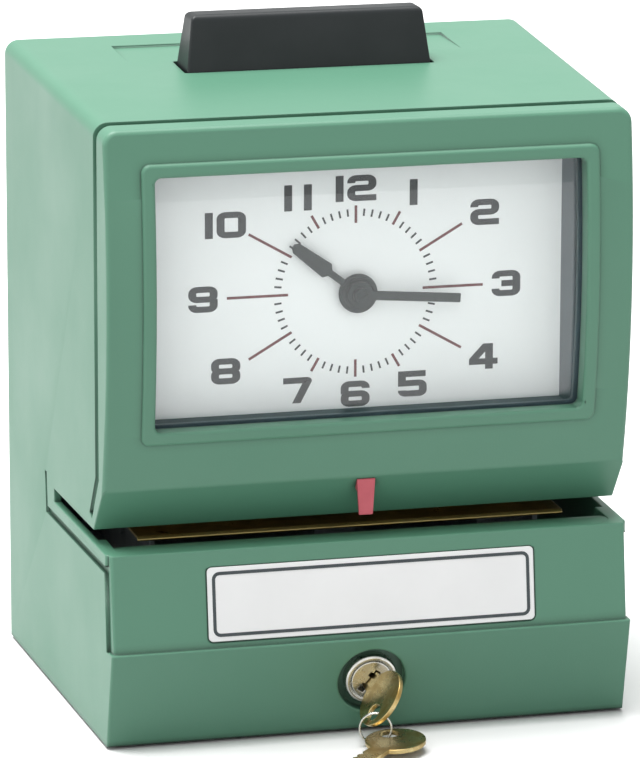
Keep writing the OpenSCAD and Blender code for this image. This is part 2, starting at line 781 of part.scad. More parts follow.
module dial() {
    half = window_w / 2;
    low = window_low - 1.4;
    high = window_low + window_h + 0.8;
    color(white) difference() {
        block(-half - 1.2, half + 1.2, dial_d - 1.2, tray_d, low - 1.6, high + 1.2);
        intersection() {
            along_z(90, 240) polygon([[2 - half, dial_d], [half - 2, dial_d], [half - 0.2, tray_d + 1],
                [0.2 - half, tray_d + 1]]);
            along_x(-90, 90) polygon([[dial_d, low + 1], [dial_d, high - 1], [tray_d + 1, high + 0.4],
                [tray_d + 1, low - 0.8]]);
        }
        rod_depth(0, dial_z, 5, dial_d - 5, dial_d + 5);
    }
}

module drive_motor() {
    color(zinc) {
        difference() {
            union() {
                rod_depth(motor_x, dial_z, motor_r, move_d - 37, move_d - 13.4);
                rod_depth(motor_x, dial_z, motor_r + 0.8, move_d - 15, move_d - 13.4);
                rod_depth(motor_x, dial_z, 6, move_d - 14, move_d - 8);
                block(motor_x - 8, motor_x + 8, move_d - 32, move_d - 20, dial_z + motor_r - 3,
                    dial_z + motor_r + 4);
            }
            rod_depth(motor_x, dial_z, 1.5 + fit, move_d - 18, move_d);
        }
        for (z = [-12, 12]) rod_depth(motor_x - 17.5, dial_z + z, 2.6, move_d - 14, move_d);
    }
}

module motor_pinion() {
    color(brass) {
        rod_depth(motor_x, dial_z, 1.5, move_d - 16, move_d - 1.4);
        along_depth(move_d - 6, move_d - 2) translate([motor_x, dial_z])
            polygon(gear_points(12, drive_m, 15));
    }
}

module minute_arbor() {
    color(brass) {
        rod_depth(0, dial_z, arbor_r, move_d - 12, dial_d + 8.4);
        along_depth(move_d - 5, move_d - 2.6) translate([0, dial_z]) difference() {
            polygon(gear_points(60, drive_m, 0));
            for (i = [0 : 4]) rotate(72 * i + 36) translate([11.5, 0]) circle(4);
        }
        along_depth(move_d - 9.5, move_d - 6.5) translate([0, dial_z])
            polygon(gear_points(30, transfer_m, 0));
        rod_depth(0, dial_z, 4.5, move_d - 6.5, move_d - 5);
        along_depth(move_d + 3, move_d + 5.6) translate([0, dial_z]) polygon(gear_points(12, 0.8, -90));
    }
}

module minute_hand() {
    color(dark) along_depth(dial_d + 6, dial_d + 7.2) translate([0, dial_z]) rotate(-minute_at) difference() {
        union() {
            translate([-1.7, 0]) square([3.4, minute_l]);
            circle(5);
        }
        circle(arbor_r + fit);
    }
    color(dark) difference() {
        rod_depth(0, dial_z, 3, dial_d + 7.2, dial_d + 9.2);
        rod_depth(0, dial_z, arbor_r + fit, dial_d + 6, dial_d + 8.5);
    }
}

module minute_wheel() {
    color(brass) difference() {
        union() {
            along_depth(move_d + 3.2, move_d + 5.4) translate([0, minute_wheel_z])
                polygon(gear_points(36, 0.8, 95));
            along_depth(move_d + 5.4, move_d + 9) translate([0, minute_wheel_z])
                polygon(gear_points(10, 0.768, 90));
        }
        rod_depth(0, minute_wheel_z, 1.5 + fit, move_d, dial_d);
    }
}

module hour_wheel() {
    color(brass) difference() {
        union() {
            along_depth(move_d + 6.2, move_d + 8.4) translate([0, dial_z])
                polygon(gear_points(40, 0.768, -90 + 4.5));
            rod_depth(0, dial_z, 4, move_d + 6.2, dial_d + 4.6);
        }
        rod_depth(0, dial_z, arbor_r + 0.5, move_d, tray_d);
    }
}

module hour_hand() {
    color(dark) {
        along_depth(dial_d + 3, dial_d + 4.2) translate([0, dial_z]) rotate(-hour_at) difference() {
            union() {
                circle(7.5);
                polygon([[-1.3, 0], [1.3, 0], [1.3, hour_l - 18], [3.1, hour_l - 16.4], [2.2, hour_l - 1.6],
                    [0.8, hour_l], [-0.8, hour_l], [-2.2, hour_l - 1.6], [-3.1, hour_l - 16.4],
                    [-1.3, hour_l - 18]]);
            }
            circle(4 + fit);
        }
    }
}

// Bevel wheel with its apex at the pitch radius above the origin
module bevel() {
    difference() {
        union() {
            cylinder(r1 = bevel_r - 0.2, r2 = bevel_r - 3, h = 2.8);
            translate([0, 0, -2.6]) cylinder(r = bevel_r - 1.2, h = 2.6);
        }
        for (i = [0 : 13]) rotate(i * 360 / 14) translate([bevel_r - 0.2, 0, 0]) rotate([0, -45, 0])
            translate([-0.8, -0.45, -1]) cube([2, 0.9, 6]);
    }
}

module transfer_gear() {
    color(brass) {
        translate([transfer_x, y_back - print_d - bevel_r, dial_z]) rotate([-90, 0, 0]) bevel();
        rod_depth(transfer_x, dial_z, arbor_r, print_d + bevel_r, move_d + 3);
        along_depth(move_d - 9.5, move_d - 6.5) translate([transfer_x, dial_z])
            polygon(gear_points(30, transfer_m, 180 + 6));
    }
}

module drive_shaft() {
    color(zinc) {
        translate([transfer_x, y_back - print_d, dial_z - bevel_r]) bevel();
        translate([transfer_x, y_back - print_d, type_z + bevel_r]) rotate([180, 0, 0]) bevel();
        rod_z(transfer_x, print_d, arbor_r, type_z + bevel_r, dial_z - bevel_r);
    }
}

module drive_bracket() {
    low = type_z + 20.5;
    high = dial_z - 20.7;
    color(zinc) difference() {
        union() {
            for (z = [low, high]) block(transfer_x - 5, transfer_x + 5, print_d - 5, move_d, z, z + 3);
            block(transfer_x - 5, transfer_x + 5, move_d - 2, move_d, low, high + 3);
        }
        rod_z(transfer_x, print_d, arbor_r + fit, low - 5, high + 5);
    }
}

module type_bracket() {
    color(zinc) {
        for (x = [-20.5, 18.5]) difference() {
            block(x, x + 2, print_d - 8, move_d, type_z - 9, type_z + 18);
            rod_x(print_d, type_z, 2.5 + fit, x - 1, x + 3);
        }
        block(-20.5, 20.5, print_d - 8, move_d, type_z + 16, type_z + 18);
        // Posts that lead the ribbon under the type
        for (x = [-33, 33]) rod_depth(x, ribbon_z + 1.7, 1.2, print_d - 7, move_d);
    }
}

module type_shaft() {
    color(zinc) {
        rod_x(print_d, type_z, 2.5, -23, transfer_x - bevel_r);
        translate([transfer_x - bevel_r, y_back - print_d, type_z]) rotate([0, 90, 0]) bevel();
    }
}

// Type wheel with raised blank slugs round its rim
module type_wheel(x, count, bore) {
    slugs = [for (i = [0 : count - 1]) for (k = [-0.26, -0.24, 0.24, 0.26])
        let (a = 360 / count * (i + k), r = abs(k) > 0.25 ? type_r - 3 : type_r - 0.1)
        [print_d + r * cos(a), type_z + r * sin(a)]];
    difference() {
        union() {
            rod_x(print_d, type_z, type_r - 2, x - type_w / 2, x + type_w / 2);
            along_x(x - type_w / 2 + 0.8, x + type_w / 2 - 0.8) polygon(slugs);
        }
        rod_x(print_d, type_z, bore, x - type_w, x + type_w);
    }
}

module minute_type_wheel() {
    color(dark) type_wheel(type_pitch, 20, 2.5 + fit);
}

module hour_type_wheel() {
    color(dark) type_wheel(0, 24, 2.5 + fit);
}

module day_type_wheel() {
    color(dark) type_wheel(-type_pitch, 16, 2.5 + fit);
}

module spool_studs() {
    color(zinc) {
        for (x = [-spool_x, spool_x]) {
            rod_depth(x, spool_z, 3, spool_rear_d - 1, move_d);
            rod_depth(x, spool_z, 4.5, spool_rear_d - 2.2, spool_rear_d - 0.5);
            rod_depth(x, spool_z, 5, spool_front_d + 0.5, move_d);
        }
        rod_depth(0, minute_wheel_z, 1.5, move_d + 2, move_d + 10);
    }
}

module spool(x) {
    difference() {
        union() {
            rod_depth(x, spool_z, 6, spool_rear_d, spool_front_d);
            rod_depth(x, spool_z, spool_r, spool_rear_d, spool_rear_d + 1);
            rod_depth(x, spool_z, spool_r, spool_front_d - 1, spool_front_d);
        }
        rod_depth(x, spool_z, 3 + fit, spool_rear_d - 5, spool_front_d + 5);
        for (i = [0 : 2]) rotate_spool(x, i * 120) rod_depth(x + 11, spool_z, 2.6, spool_rear_d - 5,
            spool_front_d + 5);
    }
}

// Turns its children about a spool's axis
module rotate_spool(x, angle) {
    translate([x, 0, spool_z]) rotate([0, angle, 0]) translate([-x, 0, -spool_z]) children();
}

module roll(x, r) {
    difference() {
        rod_depth(x, spool_z, r, spool_rear_d + 1.4, spool_front_d - 1.4);
        rod_depth(x, spool_z, 6 + fit, spool_rear_d, spool_front_d);
    }
}

module left_spool() {
    color(zinc) spool(-spool_x);
}

module right_spool() {
    color(zinc) spool(spool_x);
}

module left_ribbon_roll() {
    color([0.2, 0.15, 0.3]) roll(-spool_x, full_roll_r);
}

module right_ribbon_roll() {
    color([0.2, 0.15, 0.3]) roll(spool_x, spent_roll_r);
}

module ribbon() {
    t = 0.25;
    left_z = spool_z - full_roll_r - 0.7;
    right_z = spool_z - spent_roll_r - 0.7;
    color([0.2, 0.15, 0.3]) along_depth(print_d - ribbon_half, print_d + ribbon_half)
        polygon([[-spool_x, left_z], [-33, ribbon_z], [33, ribbon_z], [spool_x, right_z],
            [spool_x, right_z + t], [33, ribbon_z + t], [-33, ribbon_z + t], [-spool_x, left_z + t]]);
}

module lower_card_guide() {
    color(gold) difference() {
        union() {
            along_x(-guide_half, guide_half)
                polygon([[slot_back_d - 1, low_arm_z], [guide_front_d - 1.6, low_arm_z],
                [guide_front_d - 0.7, low_arm_z - 0.9], [guide_front_d, low_arm_z - 0.2],
                [guide_front_d - 1.2, guide_low_z], [slot_back_d - 1, guide_low_z]]);
            block(-guide_half, guide_half, slot_back_d - 1, slot_back_d, low_arm_z, guide_high_z - 0.4);
        }
        block(-17, 17, print_d - 13, print_d + 11, 60, 78);
    }
}

module upper_card_guide() {
    color(gold) difference() {
        along_x(-guide_half, guide_half) polygon([[slot_back_d - 2, guide_high_z],
            [guide_front_d - 3, guide_high_z],
            [guide_front_d, guide_high_z + 3], [guide_front_d - 0.7, high_arm_z + 2.7],
            [guide_front_d - 3.4, high_arm_z], [slot_back_d - 2, high_arm_z]]);
        block(-22, 22, print_d - 14, print_d + 12, 70, 90);
    }
}

module lever_shaft() {
    color(zinc) rod_x(lever_d, lever_z, pivot_r, -frame_half - 1, frame_half + 1);
}

module push_lever() {
    color(zinc) difference() {
        union() {
            rod_x(lever_d, lever_z, 5.5, -rod_x - 4, rod_x + 4);
            for (x = [-bar_leg_x, bar_leg_x]) along_x(x - 3, x + 3)
                polygon([[lever_d - 3, lever_z - 4.6], [lever_d - 3, lever_z + 4.6], [bar_d - 5, pad_z],
                    [bar_d + 5, pad_z], [bar_d + 5, pad_z - 5], [bar_d - 2, pad_z - 6.5]]);
            for (x = [-rod_x, rod_x]) along_x(x - 3, x + 3)
                polygon([[lever_d, arm_low_z + 0.4], [lever_d, lever_z + 5.4], [rod_d + 4, lever_z - 1],
                    [rod_d + 4, arm_low_z], [rod_d - 4, arm_low_z]]);
        }
        rod_x(lever_d, lever_z, pivot_r + fit, -80, 80);
    }
}

// Coil spring as one tube, turn by turn up its height
module return_spring() {
    coil = 5.2;
    wire = 0.65;
    turns = 7;
    sides = 6;
    rings = turns * 10;
    high = arm_low_z - push_gap - spring_low_z;
    rise = high - 2 * wire - 0.1;
    function centre(i) = [coil * cos(36 * i), coil * sin(36 * i), wire + rise * i / rings];
    points = [for (i = [0 : rings]) for (j = [0 : sides - 1]) let (a = 360 / sides * j)
        centre(i) + wire * [cos(36 * i) * cos(a), sin(36 * i) * cos(a), sin(a)]];
    walls = [for (i = [0 : rings - 1]) for (j = [0 : sides - 1]) let (k = (j + 1) % sides)
        [i * sides + j, i * sides + k, (i + 1) * sides + k, (i + 1) * sides + j]];
    low_cap = [for (j = [sides - 1 : -1 : 0]) j];
    high_cap = [for (j = [0 : sides - 1]) rings * sides + j];
    echo(spring_gap = min([for (i = [0 : rings - 10]) norm(centre(i + 10) - centre(i)) - 2 * wire]));
    color(zinc) translate([-rod_x, y_back - rod_d, spring_low_z])
        polyhedron(points, concat(walls, [low_cap, high_cap]));
}

module push_rod() {
    color(zinc) {
        rod_z(rod_x, rod_d, 2.5, tail_z + push_gap + 2, arm_low_z - push_gap - 2);
        // Tips that bear on hammer and lever
        translate([rod_x, y_back - rod_d, tail_z + push_gap]) cylinder(r1 = 1.2, r2 = 2.5, h = 2);
        translate([rod_x, y_back - rod_d, arm_low_z - push_gap - 2]) cylinder(r1 = 2.5, r2 = 1.2, h = 2);
        rod_z(rod_x, rod_d, 3.6, 140, 143);
    }
}

module hammer_shaft() {
    color(zinc) rod_x(hammer_d, hammer_z, pivot_r, -frame_half - 1, frame_half + 1);
}

module hammer() {
    color(zinc) difference() {
        union() {
            rod_x(hammer_d, hammer_z, 5.5, -12, rod_x + 4);
            along_x(rod_x - 3, rod_x + 3) polygon([[hammer_d, hammer_z - 5.5], [hammer_d, hammer_z + 5.5],
                [rod_d + 4, tail_z], [rod_d - 4, tail_z], [rod_d - 4, hammer_z - 1],
                    [rod_d + 4, hammer_z - 2]]);
            along_x(-8, 8) polygon([[hammer_d, hammer_z - 5.5], [hammer_d, hammer_z + 5.5],
                [print_d - 6, hammer_z + 6], [print_d - 6, hammer_z + 8], [print_d + 6, hammer_z + 8],
                [print_d + 6, hammer_z - 2], [print_d - 12, hammer_z - 5.5]]);
            block(-12, 12, print_d - 6, print_d + 6, hammer_z + 6, hammer_z + 8.4);
        }
        rod_x(hammer_d, hammer_z, pivot_r + fit, -80, 80);
    }
}

module hammer_pad() {
    color(black) block(-12.5, 12.5, print_d - 6.5, print_d + 6.5, hammer_z + 8.4, hammer_z + 10.8);
}

module terminal_block() {
    color(black) difference() {
        block(0, 32, 22, 36, base_z, base_z + 13);
        for (i = [0 : 2]) translate([6 + 10 * i, y_back - 29, base_z + 6]) cylinder(r = 3, h = 9);
    }
}

case_cover();
dial_lens();
lens_retainer();
nameplate();
card_pointer();
lock_barrel();
lock_nut();
push_bar();
lock_plug();
lock_cam();
cam_screw();
key();
key_ring();
spare_key();
back_plate();
cord_grommet();
base_plate();
rubber_feet();
left_frame();
right_frame();
frame_posts();
frame_screws();
movement_plate();
dial();
drive_motor();
motor_pinion();
minute_arbor();
minute_hand();
minute_wheel();
hour_wheel();
hour_hand();
transfer_gear();
drive_shaft();
drive_bracket();
type_bracket();
type_shaft();
minute_type_wheel();
hour_type_wheel();
day_type_wheel();
spool_studs();
left_spool();
right_spool();
left_ribbon_roll();
right_ribbon_roll();
ribbon();
lower_card_guide();
upper_card_guide();
lever_shaft();
push_lever();
return_spring();
push_rod();
hammer_shaft();
hammer();
hammer_pad();
terminal_block();
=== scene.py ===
import json
import math

import bmesh
import bpy
from bpy.props import FloatProperty, FloatVectorProperty, PointerProperty
from bpy.types import Operator, Panel, PropertyGroup
from mathutils import Matrix, Vector

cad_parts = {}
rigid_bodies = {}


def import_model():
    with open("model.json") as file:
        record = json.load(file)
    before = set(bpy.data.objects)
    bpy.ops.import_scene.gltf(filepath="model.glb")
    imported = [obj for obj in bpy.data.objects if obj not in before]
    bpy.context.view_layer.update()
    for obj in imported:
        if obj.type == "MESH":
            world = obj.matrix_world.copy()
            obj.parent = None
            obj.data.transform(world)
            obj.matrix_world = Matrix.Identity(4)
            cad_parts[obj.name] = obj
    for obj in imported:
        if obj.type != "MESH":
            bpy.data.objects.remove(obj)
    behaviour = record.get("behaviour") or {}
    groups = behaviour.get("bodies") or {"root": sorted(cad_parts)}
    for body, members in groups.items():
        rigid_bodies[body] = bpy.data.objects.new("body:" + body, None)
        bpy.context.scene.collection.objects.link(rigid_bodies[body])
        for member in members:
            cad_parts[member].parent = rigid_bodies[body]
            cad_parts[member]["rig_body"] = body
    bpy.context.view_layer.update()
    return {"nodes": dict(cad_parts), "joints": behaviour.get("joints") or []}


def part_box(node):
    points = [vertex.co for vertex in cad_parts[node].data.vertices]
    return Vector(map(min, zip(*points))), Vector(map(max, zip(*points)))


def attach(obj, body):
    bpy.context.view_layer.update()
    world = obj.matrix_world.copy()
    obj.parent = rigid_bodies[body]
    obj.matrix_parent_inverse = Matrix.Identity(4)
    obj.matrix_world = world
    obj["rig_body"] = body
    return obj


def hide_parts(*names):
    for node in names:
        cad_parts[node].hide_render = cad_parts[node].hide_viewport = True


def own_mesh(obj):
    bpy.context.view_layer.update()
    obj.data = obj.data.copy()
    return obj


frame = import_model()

bl_info = {
    "name": "Time recorder",
    "version": (1, 0, 0),
    "blender": (4, 5, 0),
    "location": "3D View > Sidebar > Recorder",
    "description": "Dresses a manual-print time recorder: mouldings, dial, lock, keys and finishes",
    "category": "Object",
}

MM = 0.001
BACK_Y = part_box("back_plate")[1].y
NODES = frame["nodes"]
JOINTS = {joint["name"]: joint for joint in frame["joints"]}
WELD = 2e-6                      # distance at which the corners of a CAD mesh are merged
FLAT = math.radians(0.3)         # faces that differ by less are joined
SMOOTH = math.radians(30)        # edges that turn by less are shaded smooth
SHARP = math.radians(26)         # edges that turn by more are rounded
FRONT = Vector((0, -1, 0))       # the way that the front faces
TURNED = 0.7                     # share of its normal that makes a face count as turned one way


def srgb(red, green, blue):
    """Linear colour from three values of 0 to 255."""
    def linear(v):
        return v / 12.92 if v <= 0.04045 else ((v + 0.055) / 1.055) ** 2.4
    return tuple(linear(v / 255) for v in (red, green, blue))


def colour(name, description, value):
    return FloatVectorProperty(name=name, description=description, default=value,
                               subtype="COLOR", size=3, min=0, max=1)


def length(name, description, millimetres):
    return FloatProperty(name=name, description=description, default=millimetres * MM,
                         unit="LENGTH", subtype="DISTANCE", min=0)


def angle(name, description, degrees):
    return FloatProperty(name=name, description=description, default=math.radians(degrees),
                         unit="ROTATION", subtype="ANGLE")


def number(name, description, value):
    return FloatProperty(name=name, description=description, default=value)


class RecorderColours(PropertyGroup):
    """Colours of the recorder's finishes"""
    body: colour("Body", "Green of the moulded cover", srgb(86, 136, 112))
    bar: colour("Push bar", "Black of the push bar", srgb(28, 33, 35))
    dial: colour("Dial", "White of the dial", srgb(238, 242, 241))
    # This blue-grey stands for the shade on the dial tray's walls and the lens retainer: painted
    # shade.
    tray: colour("Dial tray", "Blue-grey of the walls round the dial", srgb(64, 82, 90))
    ink: colour("Dial ink", "Dark grey of numerals and minute marks", srgb(40, 47, 50))
    border: colour("Border ink", "Grey of the nameplate's border", srgb(58, 67, 70))
    mark: colour("Hour marks", "Red-brown of the hour marks", srgb(106, 48, 52))
    hand: colour("Hands", "Dark grey of the hands", srgb(39, 50, 50))
    plate: colour("Nameplate", "White of the bare nameplate", srgb(248, 249, 249))
    pointer: colour("Card pointer", "Red of the mark on the chin", srgb(200, 88, 100))
    nickel: colour("Nickel", "Plating of lock and key ring", srgb(200, 200, 194))
    brass: colour("Brass", "Keys, arbors and gears", srgb(196, 182, 136))
    zinc: colour("Zinc", "Plating of the steel chassis", srgb(186, 190, 192))
    yellow_zinc: colour("Yellow zinc", "Plating of the card guides", srgb(196, 170, 104))
    motor: colour("Motor", "Lacquer of the motor can", srgb(126, 130, 132))
    steel: colour("Type steel", "Blackened steel of the type wheels", srgb(84, 86, 88))
    ribbon: colour("Ribbon", "Inked cloth of the ribbon", srgb(42, 34, 66))
    rubber: colour("Rubber", "Feet, grommet and hammer pad", srgb(34, 35, 36))


class RecorderSizes(PropertyGroup):
    """Sizes of the dressed pieces"""
    edge: length("Main edges", "Radius of the cover's long outer edges", 1.6)
    numeral_height: length("Numeral height", "Height of the numerals", 9.9)
    numeral_width: length("Numeral width", "Width of a numeral other than one", 11.3)
    numeral_bar: length("Numeral bars", "Thickness of a numeral's level strokes", 2.3)
    numeral_stem: length("Numeral stems", "Thickness of a numeral's upright strokes", 3.05)
    print_depth: length("Print depth", "Thickness of printed ink", 0.12)
    minute_in: length("Minute marks, inside", "Inner radius of the minute marks", 29.0)
    minute_out: length("Minute marks, outside", "Outer radius of the minute marks", 31.8)
    minute_width: length("Minute mark width", "Width of a minute mark", 0.72)
    hour_width: length("Hour mark width", "Width of an hour mark", 1.0)
    border_inset: length("Border inset", "Distance of the border from the nameplate's edge", 2.4)
    border_width: length("Border width", "Width of the nameplate's border line", 1.25)


class RecorderStage(PropertyGroup):
    """Camera and light"""
    yaw: angle("Yaw", "Turn of the camera about the object", -14.88)
    elevation: angle("Elevation", "Height of the camera above the horizon", 13.5)
    roll: angle("Roll", "Roll of the camera", 0.16)
    distance: length("Distance", "Distance of the camera from its target", 2155)
    lens: number("Lens", "Focal length on a 36 mm sensor, in millimetres", 252.4)
    overhead: number("Overhead light", "Strength of the soft light from above", 5.2)
    key: number("Key light", "Strength of the soft light from the front", 0.6)
    side: number("Side light", "Strength of the soft light from the left", 0.7)
    ambient: number("Ambient light", "Strength of the light from all round", 0.34)


# Shader nodes

MIX_INPUTS = (6, 7)              # a Mix node's two colours
MIX_RESULT = 2                   # and the colour that it puts out


def feed(tree, socket, value):
    """Links an output to an input, or sets the input's own value."""
    if isinstance(value, bpy.types.NodeSocket):
        tree.links.new(value, socket)
    else:
        socket.default_value = value


def fill(tree, node, **values):
    """Feeds a node's inputs, named by the keywords with _ for a blank."""
    for key, value in values.items():
        feed(tree, node.inputs[key.replace("_", " ")], value)


def add(tree, kind, **values):
    """Adds a shader node and feeds its inputs."""
    node = tree.nodes.new("ShaderNode" + kind)
    fill(tree, node, **values)
    return node


def combine(tree, operation, first, second, kind="Math"):
    """Adds a node that combines two outputs."""
    node = tree.nodes.new("ShaderNode" + kind)
    node.operation = operation
    tree.links.new(first, node.inputs[0])
    tree.links.new(second, node.inputs[1])
    return node


def mix_colours(tree, mask, first, second):
    """Output that mixes two colours, each a value or an output, by a mask."""
    node = tree.nodes.new("ShaderNodeMix")
    node.data_type = "RGBA"
    tree.links.new(mask, node.inputs[0])
    for index, given in zip(MIX_INPUTS, (first, second)):
        feed(tree, node.inputs[index], (*given, 1.0) if isinstance(given, tuple) else given)
    return node.outputs[MIX_RESULT]


def mix_shaders(tree, mask, first, second):
    """Output that mixes two shaders by a mask."""
    node = tree.nodes.new("ShaderNodeMixShader")
    for socket, given in zip(node.inputs, (mask, first, second)):
        tree.links.new(given, socket)
    return node.outputs[0]


def seen_rays(tree):
    """Output that is 1 for rays from the camera, a reflection or a clear piece."""
    rays = tree.nodes.new("ShaderNodeLightPath").outputs
    mask = rays["Is Camera Ray"]
    for other in ("Is Glossy Ray", "Is Transmission Ray"):
        mask = combine(tree, "MAXIMUM", mask, rays[other]).outputs[0]
    return mask


def own_place(tree):
    """Output with the place on the piece."""
    return tree.nodes.new("ShaderNodeTexCoord").outputs["Object"]


def add_group(tree, make, **values):
    """Adds the node group that a function makes once under its own name, and feeds its inputs."""
    held = bpy.data.node_groups
    node = tree.nodes.new("ShaderNodeGroup")
    node.node_tree = held[make.__name__] if make.__name__ in held else make()
    fill(tree, node, **values)
    return node


def new_group(name, inputs, outputs):
    """Empty node group with the outputs of its input node and the inputs of its output node."""
    group = bpy.data.node_groups.new(name, "ShaderNodeTree")
    new_socket = group.interface.new_socket
    for key, value in inputs.items():
        kind = "NodeSocketFloat" if isinstance(value, float) else "NodeSocketVector"
        made = new_socket(name=key, in_out="INPUT", socket_type=kind)
        if value is not None:
            made.default_value = value
    for key in outputs:
        kind = "NodeSocketVector" if key == "Normal" else "NodeSocketFloat"
        new_socket(name=key, in_out="OUTPUT", socket_type=kind)
    given, result = group.nodes.new("NodeGroupInput"), group.nodes.new("NodeGroupOutput")
    return group, given.outputs, result.inputs


def moulded_grain():
    """Fine pebbled grain of a moulded surface, with slow mottling."""
    group, given, result = new_group(
        "moulded_grain", {"Vector": None, "Scale": 1500.0, "Mottle Scale": 30.0},
        ("Height", "Mottle"))
    where, scale = given["Vector"], given["Scale"]
    pebbles = add(group, "TexVoronoi", Vector=where, Scale=scale)
    pebbles.feature = "SMOOTH_F1"
    fine = add(group, "TexNoise", Vector=where, Scale=scale, Detail=3.0, Roughness=0.6)
    slow = add(group, "TexNoise", Vector=where, Scale=given["Mottle Scale"], Detail=4.0,
               Roughness=0.55)
    both = combine(group, "ADD", pebbles.outputs["Distance"], fine.outputs["Fac"])
    spread = add(group, "MapRange", Value=slow.outputs["Fac"], From_Min=0.32, From_Max=0.68)
    feed(group, result["Height"], both.outputs[0])
    feed(group, result["Mottle"], spread.outputs["Result"])
    return group


def drawn_lines():
    """Fine lines of drawn, brushed or turned metal, with slow patches."""
    group, given, result = new_group(
        "drawn_lines",
        {"Vector": None, "Scale": 400.0, "Stretch": (1.0, 1.0, 0.04), "Patch Scale": 60.0},
        ("Height", "Patch"))
    along = combine(group, "MULTIPLY", given["Vector"], given["Stretch"], "VectorMath")
    lines = add(group, "TexNoise", Vector=along.outputs[0], Scale=given["Scale"], Detail=4.0,
                Roughness=0.7)
    patches = add(group, "TexNoise", Vector=given["Vector"], Scale=given["Patch Scale"], Detail=5.0,
                  Roughness=0.6, Distortion=0.6)
    spread = add(group, "MapRange", Value=patches.outputs["Fac"], From_Min=0.3, From_Max=0.7)
    feed(group, result["Height"], lines.outputs["Fac"])
    feed(group, result["Patch"], spread.outputs["Result"])
    return group


def edge_wear():
    """Mask along worn edges and a softened normal."""
    group, given, result = new_group(
        "edge_wear", {"Vector": None, "Radius": 0.0006, "Amount": 1.0}, ("Edge", "Normal"))
    soft = add(group, "Bevel", Radius=given["Radius"])
    soft.samples = 4
    plain = add(group, "NewGeometry")
    alike = combine(group, "DOT_PRODUCT", soft.outputs["Normal"], plain.outputs["Normal"],
                    "VectorMath")
    rub = add(group, "TexNoise", Vector=given["Vector"], Scale=260.0, Detail=4.0)
    turn = add(group, "MapRange", Value=alike.outputs["Value"], From_Min=0.985, From_Max=0.8)
    worn = combine(group, "MULTIPLY", turn.outputs["Result"], rub.outputs["Fac"])
    scaled = combine(group, "MULTIPLY", worn.outputs[0], given["Amount"])
    scaled.use_clamp = True
    feed(group, result["Edge"], scaled.outputs[0])
    feed(group, result["Normal"], soft.outputs["Normal"])
    return group


def crease_dust():
    """Mask in inside corners from ambient occlusion, for painted shade that darkens the surface
    there.
    """
    group, given, result = new_group(
        "crease_dust", {"Distance": 0.0035, "Amount": 0.5}, ("Crease",))
    closed = add(group, "AmbientOcclusion", Distance=given["Distance"])
    closed.samples = 6
    deep = add(group, "MapRange", Value=closed.outputs["AO"], From_Min=0.95, From_Max=0.5)
    scaled = combine(group, "MULTIPLY", deep.outputs["Result"], given["Amount"])
    feed(group, result["Crease"], scaled.outputs[0])
    return group


# Finishes

PAINTED_SHADE_SHARE = 0.25                # share of the colour that is left where painted shade darkens inside corners


def shade(value, factor):
    return tuple(min(1.0, v * factor) for v in value)


def tone(base, given):
    """Colour from a share of a base colour, or a colour of its own."""
    return given if isinstance(given, tuple) else shade(base, given)


def blank_material(name):
    material = bpy.data.materials.new(name)
    material.use_nodes = True
    tree = material.node_tree
    tree.nodes.clear()
    shader = tree.nodes.new("ShaderNodeBsdfPrincipled")
    out = tree.nodes.new("ShaderNodeOutputMaterial")
    tree.links.new(shader.outputs["BSDF"], out.inputs["Surface"])
    return material, tree, shader


def surface(name, source, tint, rough, pattern=moulded_grain, share=1.0, metallic=0.0, bump=0.1,
            depth=0.0001, wear=0.3, worn=1.5, radius=0.0005, specular=0.5, dust=0.0, **settings):
    """Material with a pattern, edge wear, varied roughness and bump."""
    base = shade(getattr(bpy.context.scene.recorder_colours, source), share)
    material, tree, shader = blank_material(name)
    where = own_place(tree)
    detail = add_group(tree, pattern, Vector=where, **settings)
    edges = add_group(tree, edge_wear, Vector=where, Radius=radius, Amount=wear)
    patch = detail.outputs[1]
    mixed = mix_colours(tree, patch, base, tone(base, tint))
    mixed = mix_colours(tree, edges.outputs["Edge"], mixed, tone(base, worn))
    # Painted shade: inside corners darkened by ambient occlusion.
    if dust:
        corners = add_group(tree, crease_dust, Amount=dust)
        mixed = mix_colours(tree, corners.outputs["Crease"], mixed, shade(base, PAINTED_SHADE_SHARE))
    varied = add(tree, "MapRange", Value=patch, To_Min=rough[0], To_Max=rough[1])
    relief = add(tree, "Bump", Strength=bump, Distance=depth, Height=detail.outputs["Height"],
                 Normal=edges.outputs["Normal"])
    fill(tree, shader, Base_Color=mixed, Roughness=varied.outputs["Result"],
         Normal=relief.outputs["Normal"], Metallic=metallic, Specular_IOR_Level=specular)
    return material


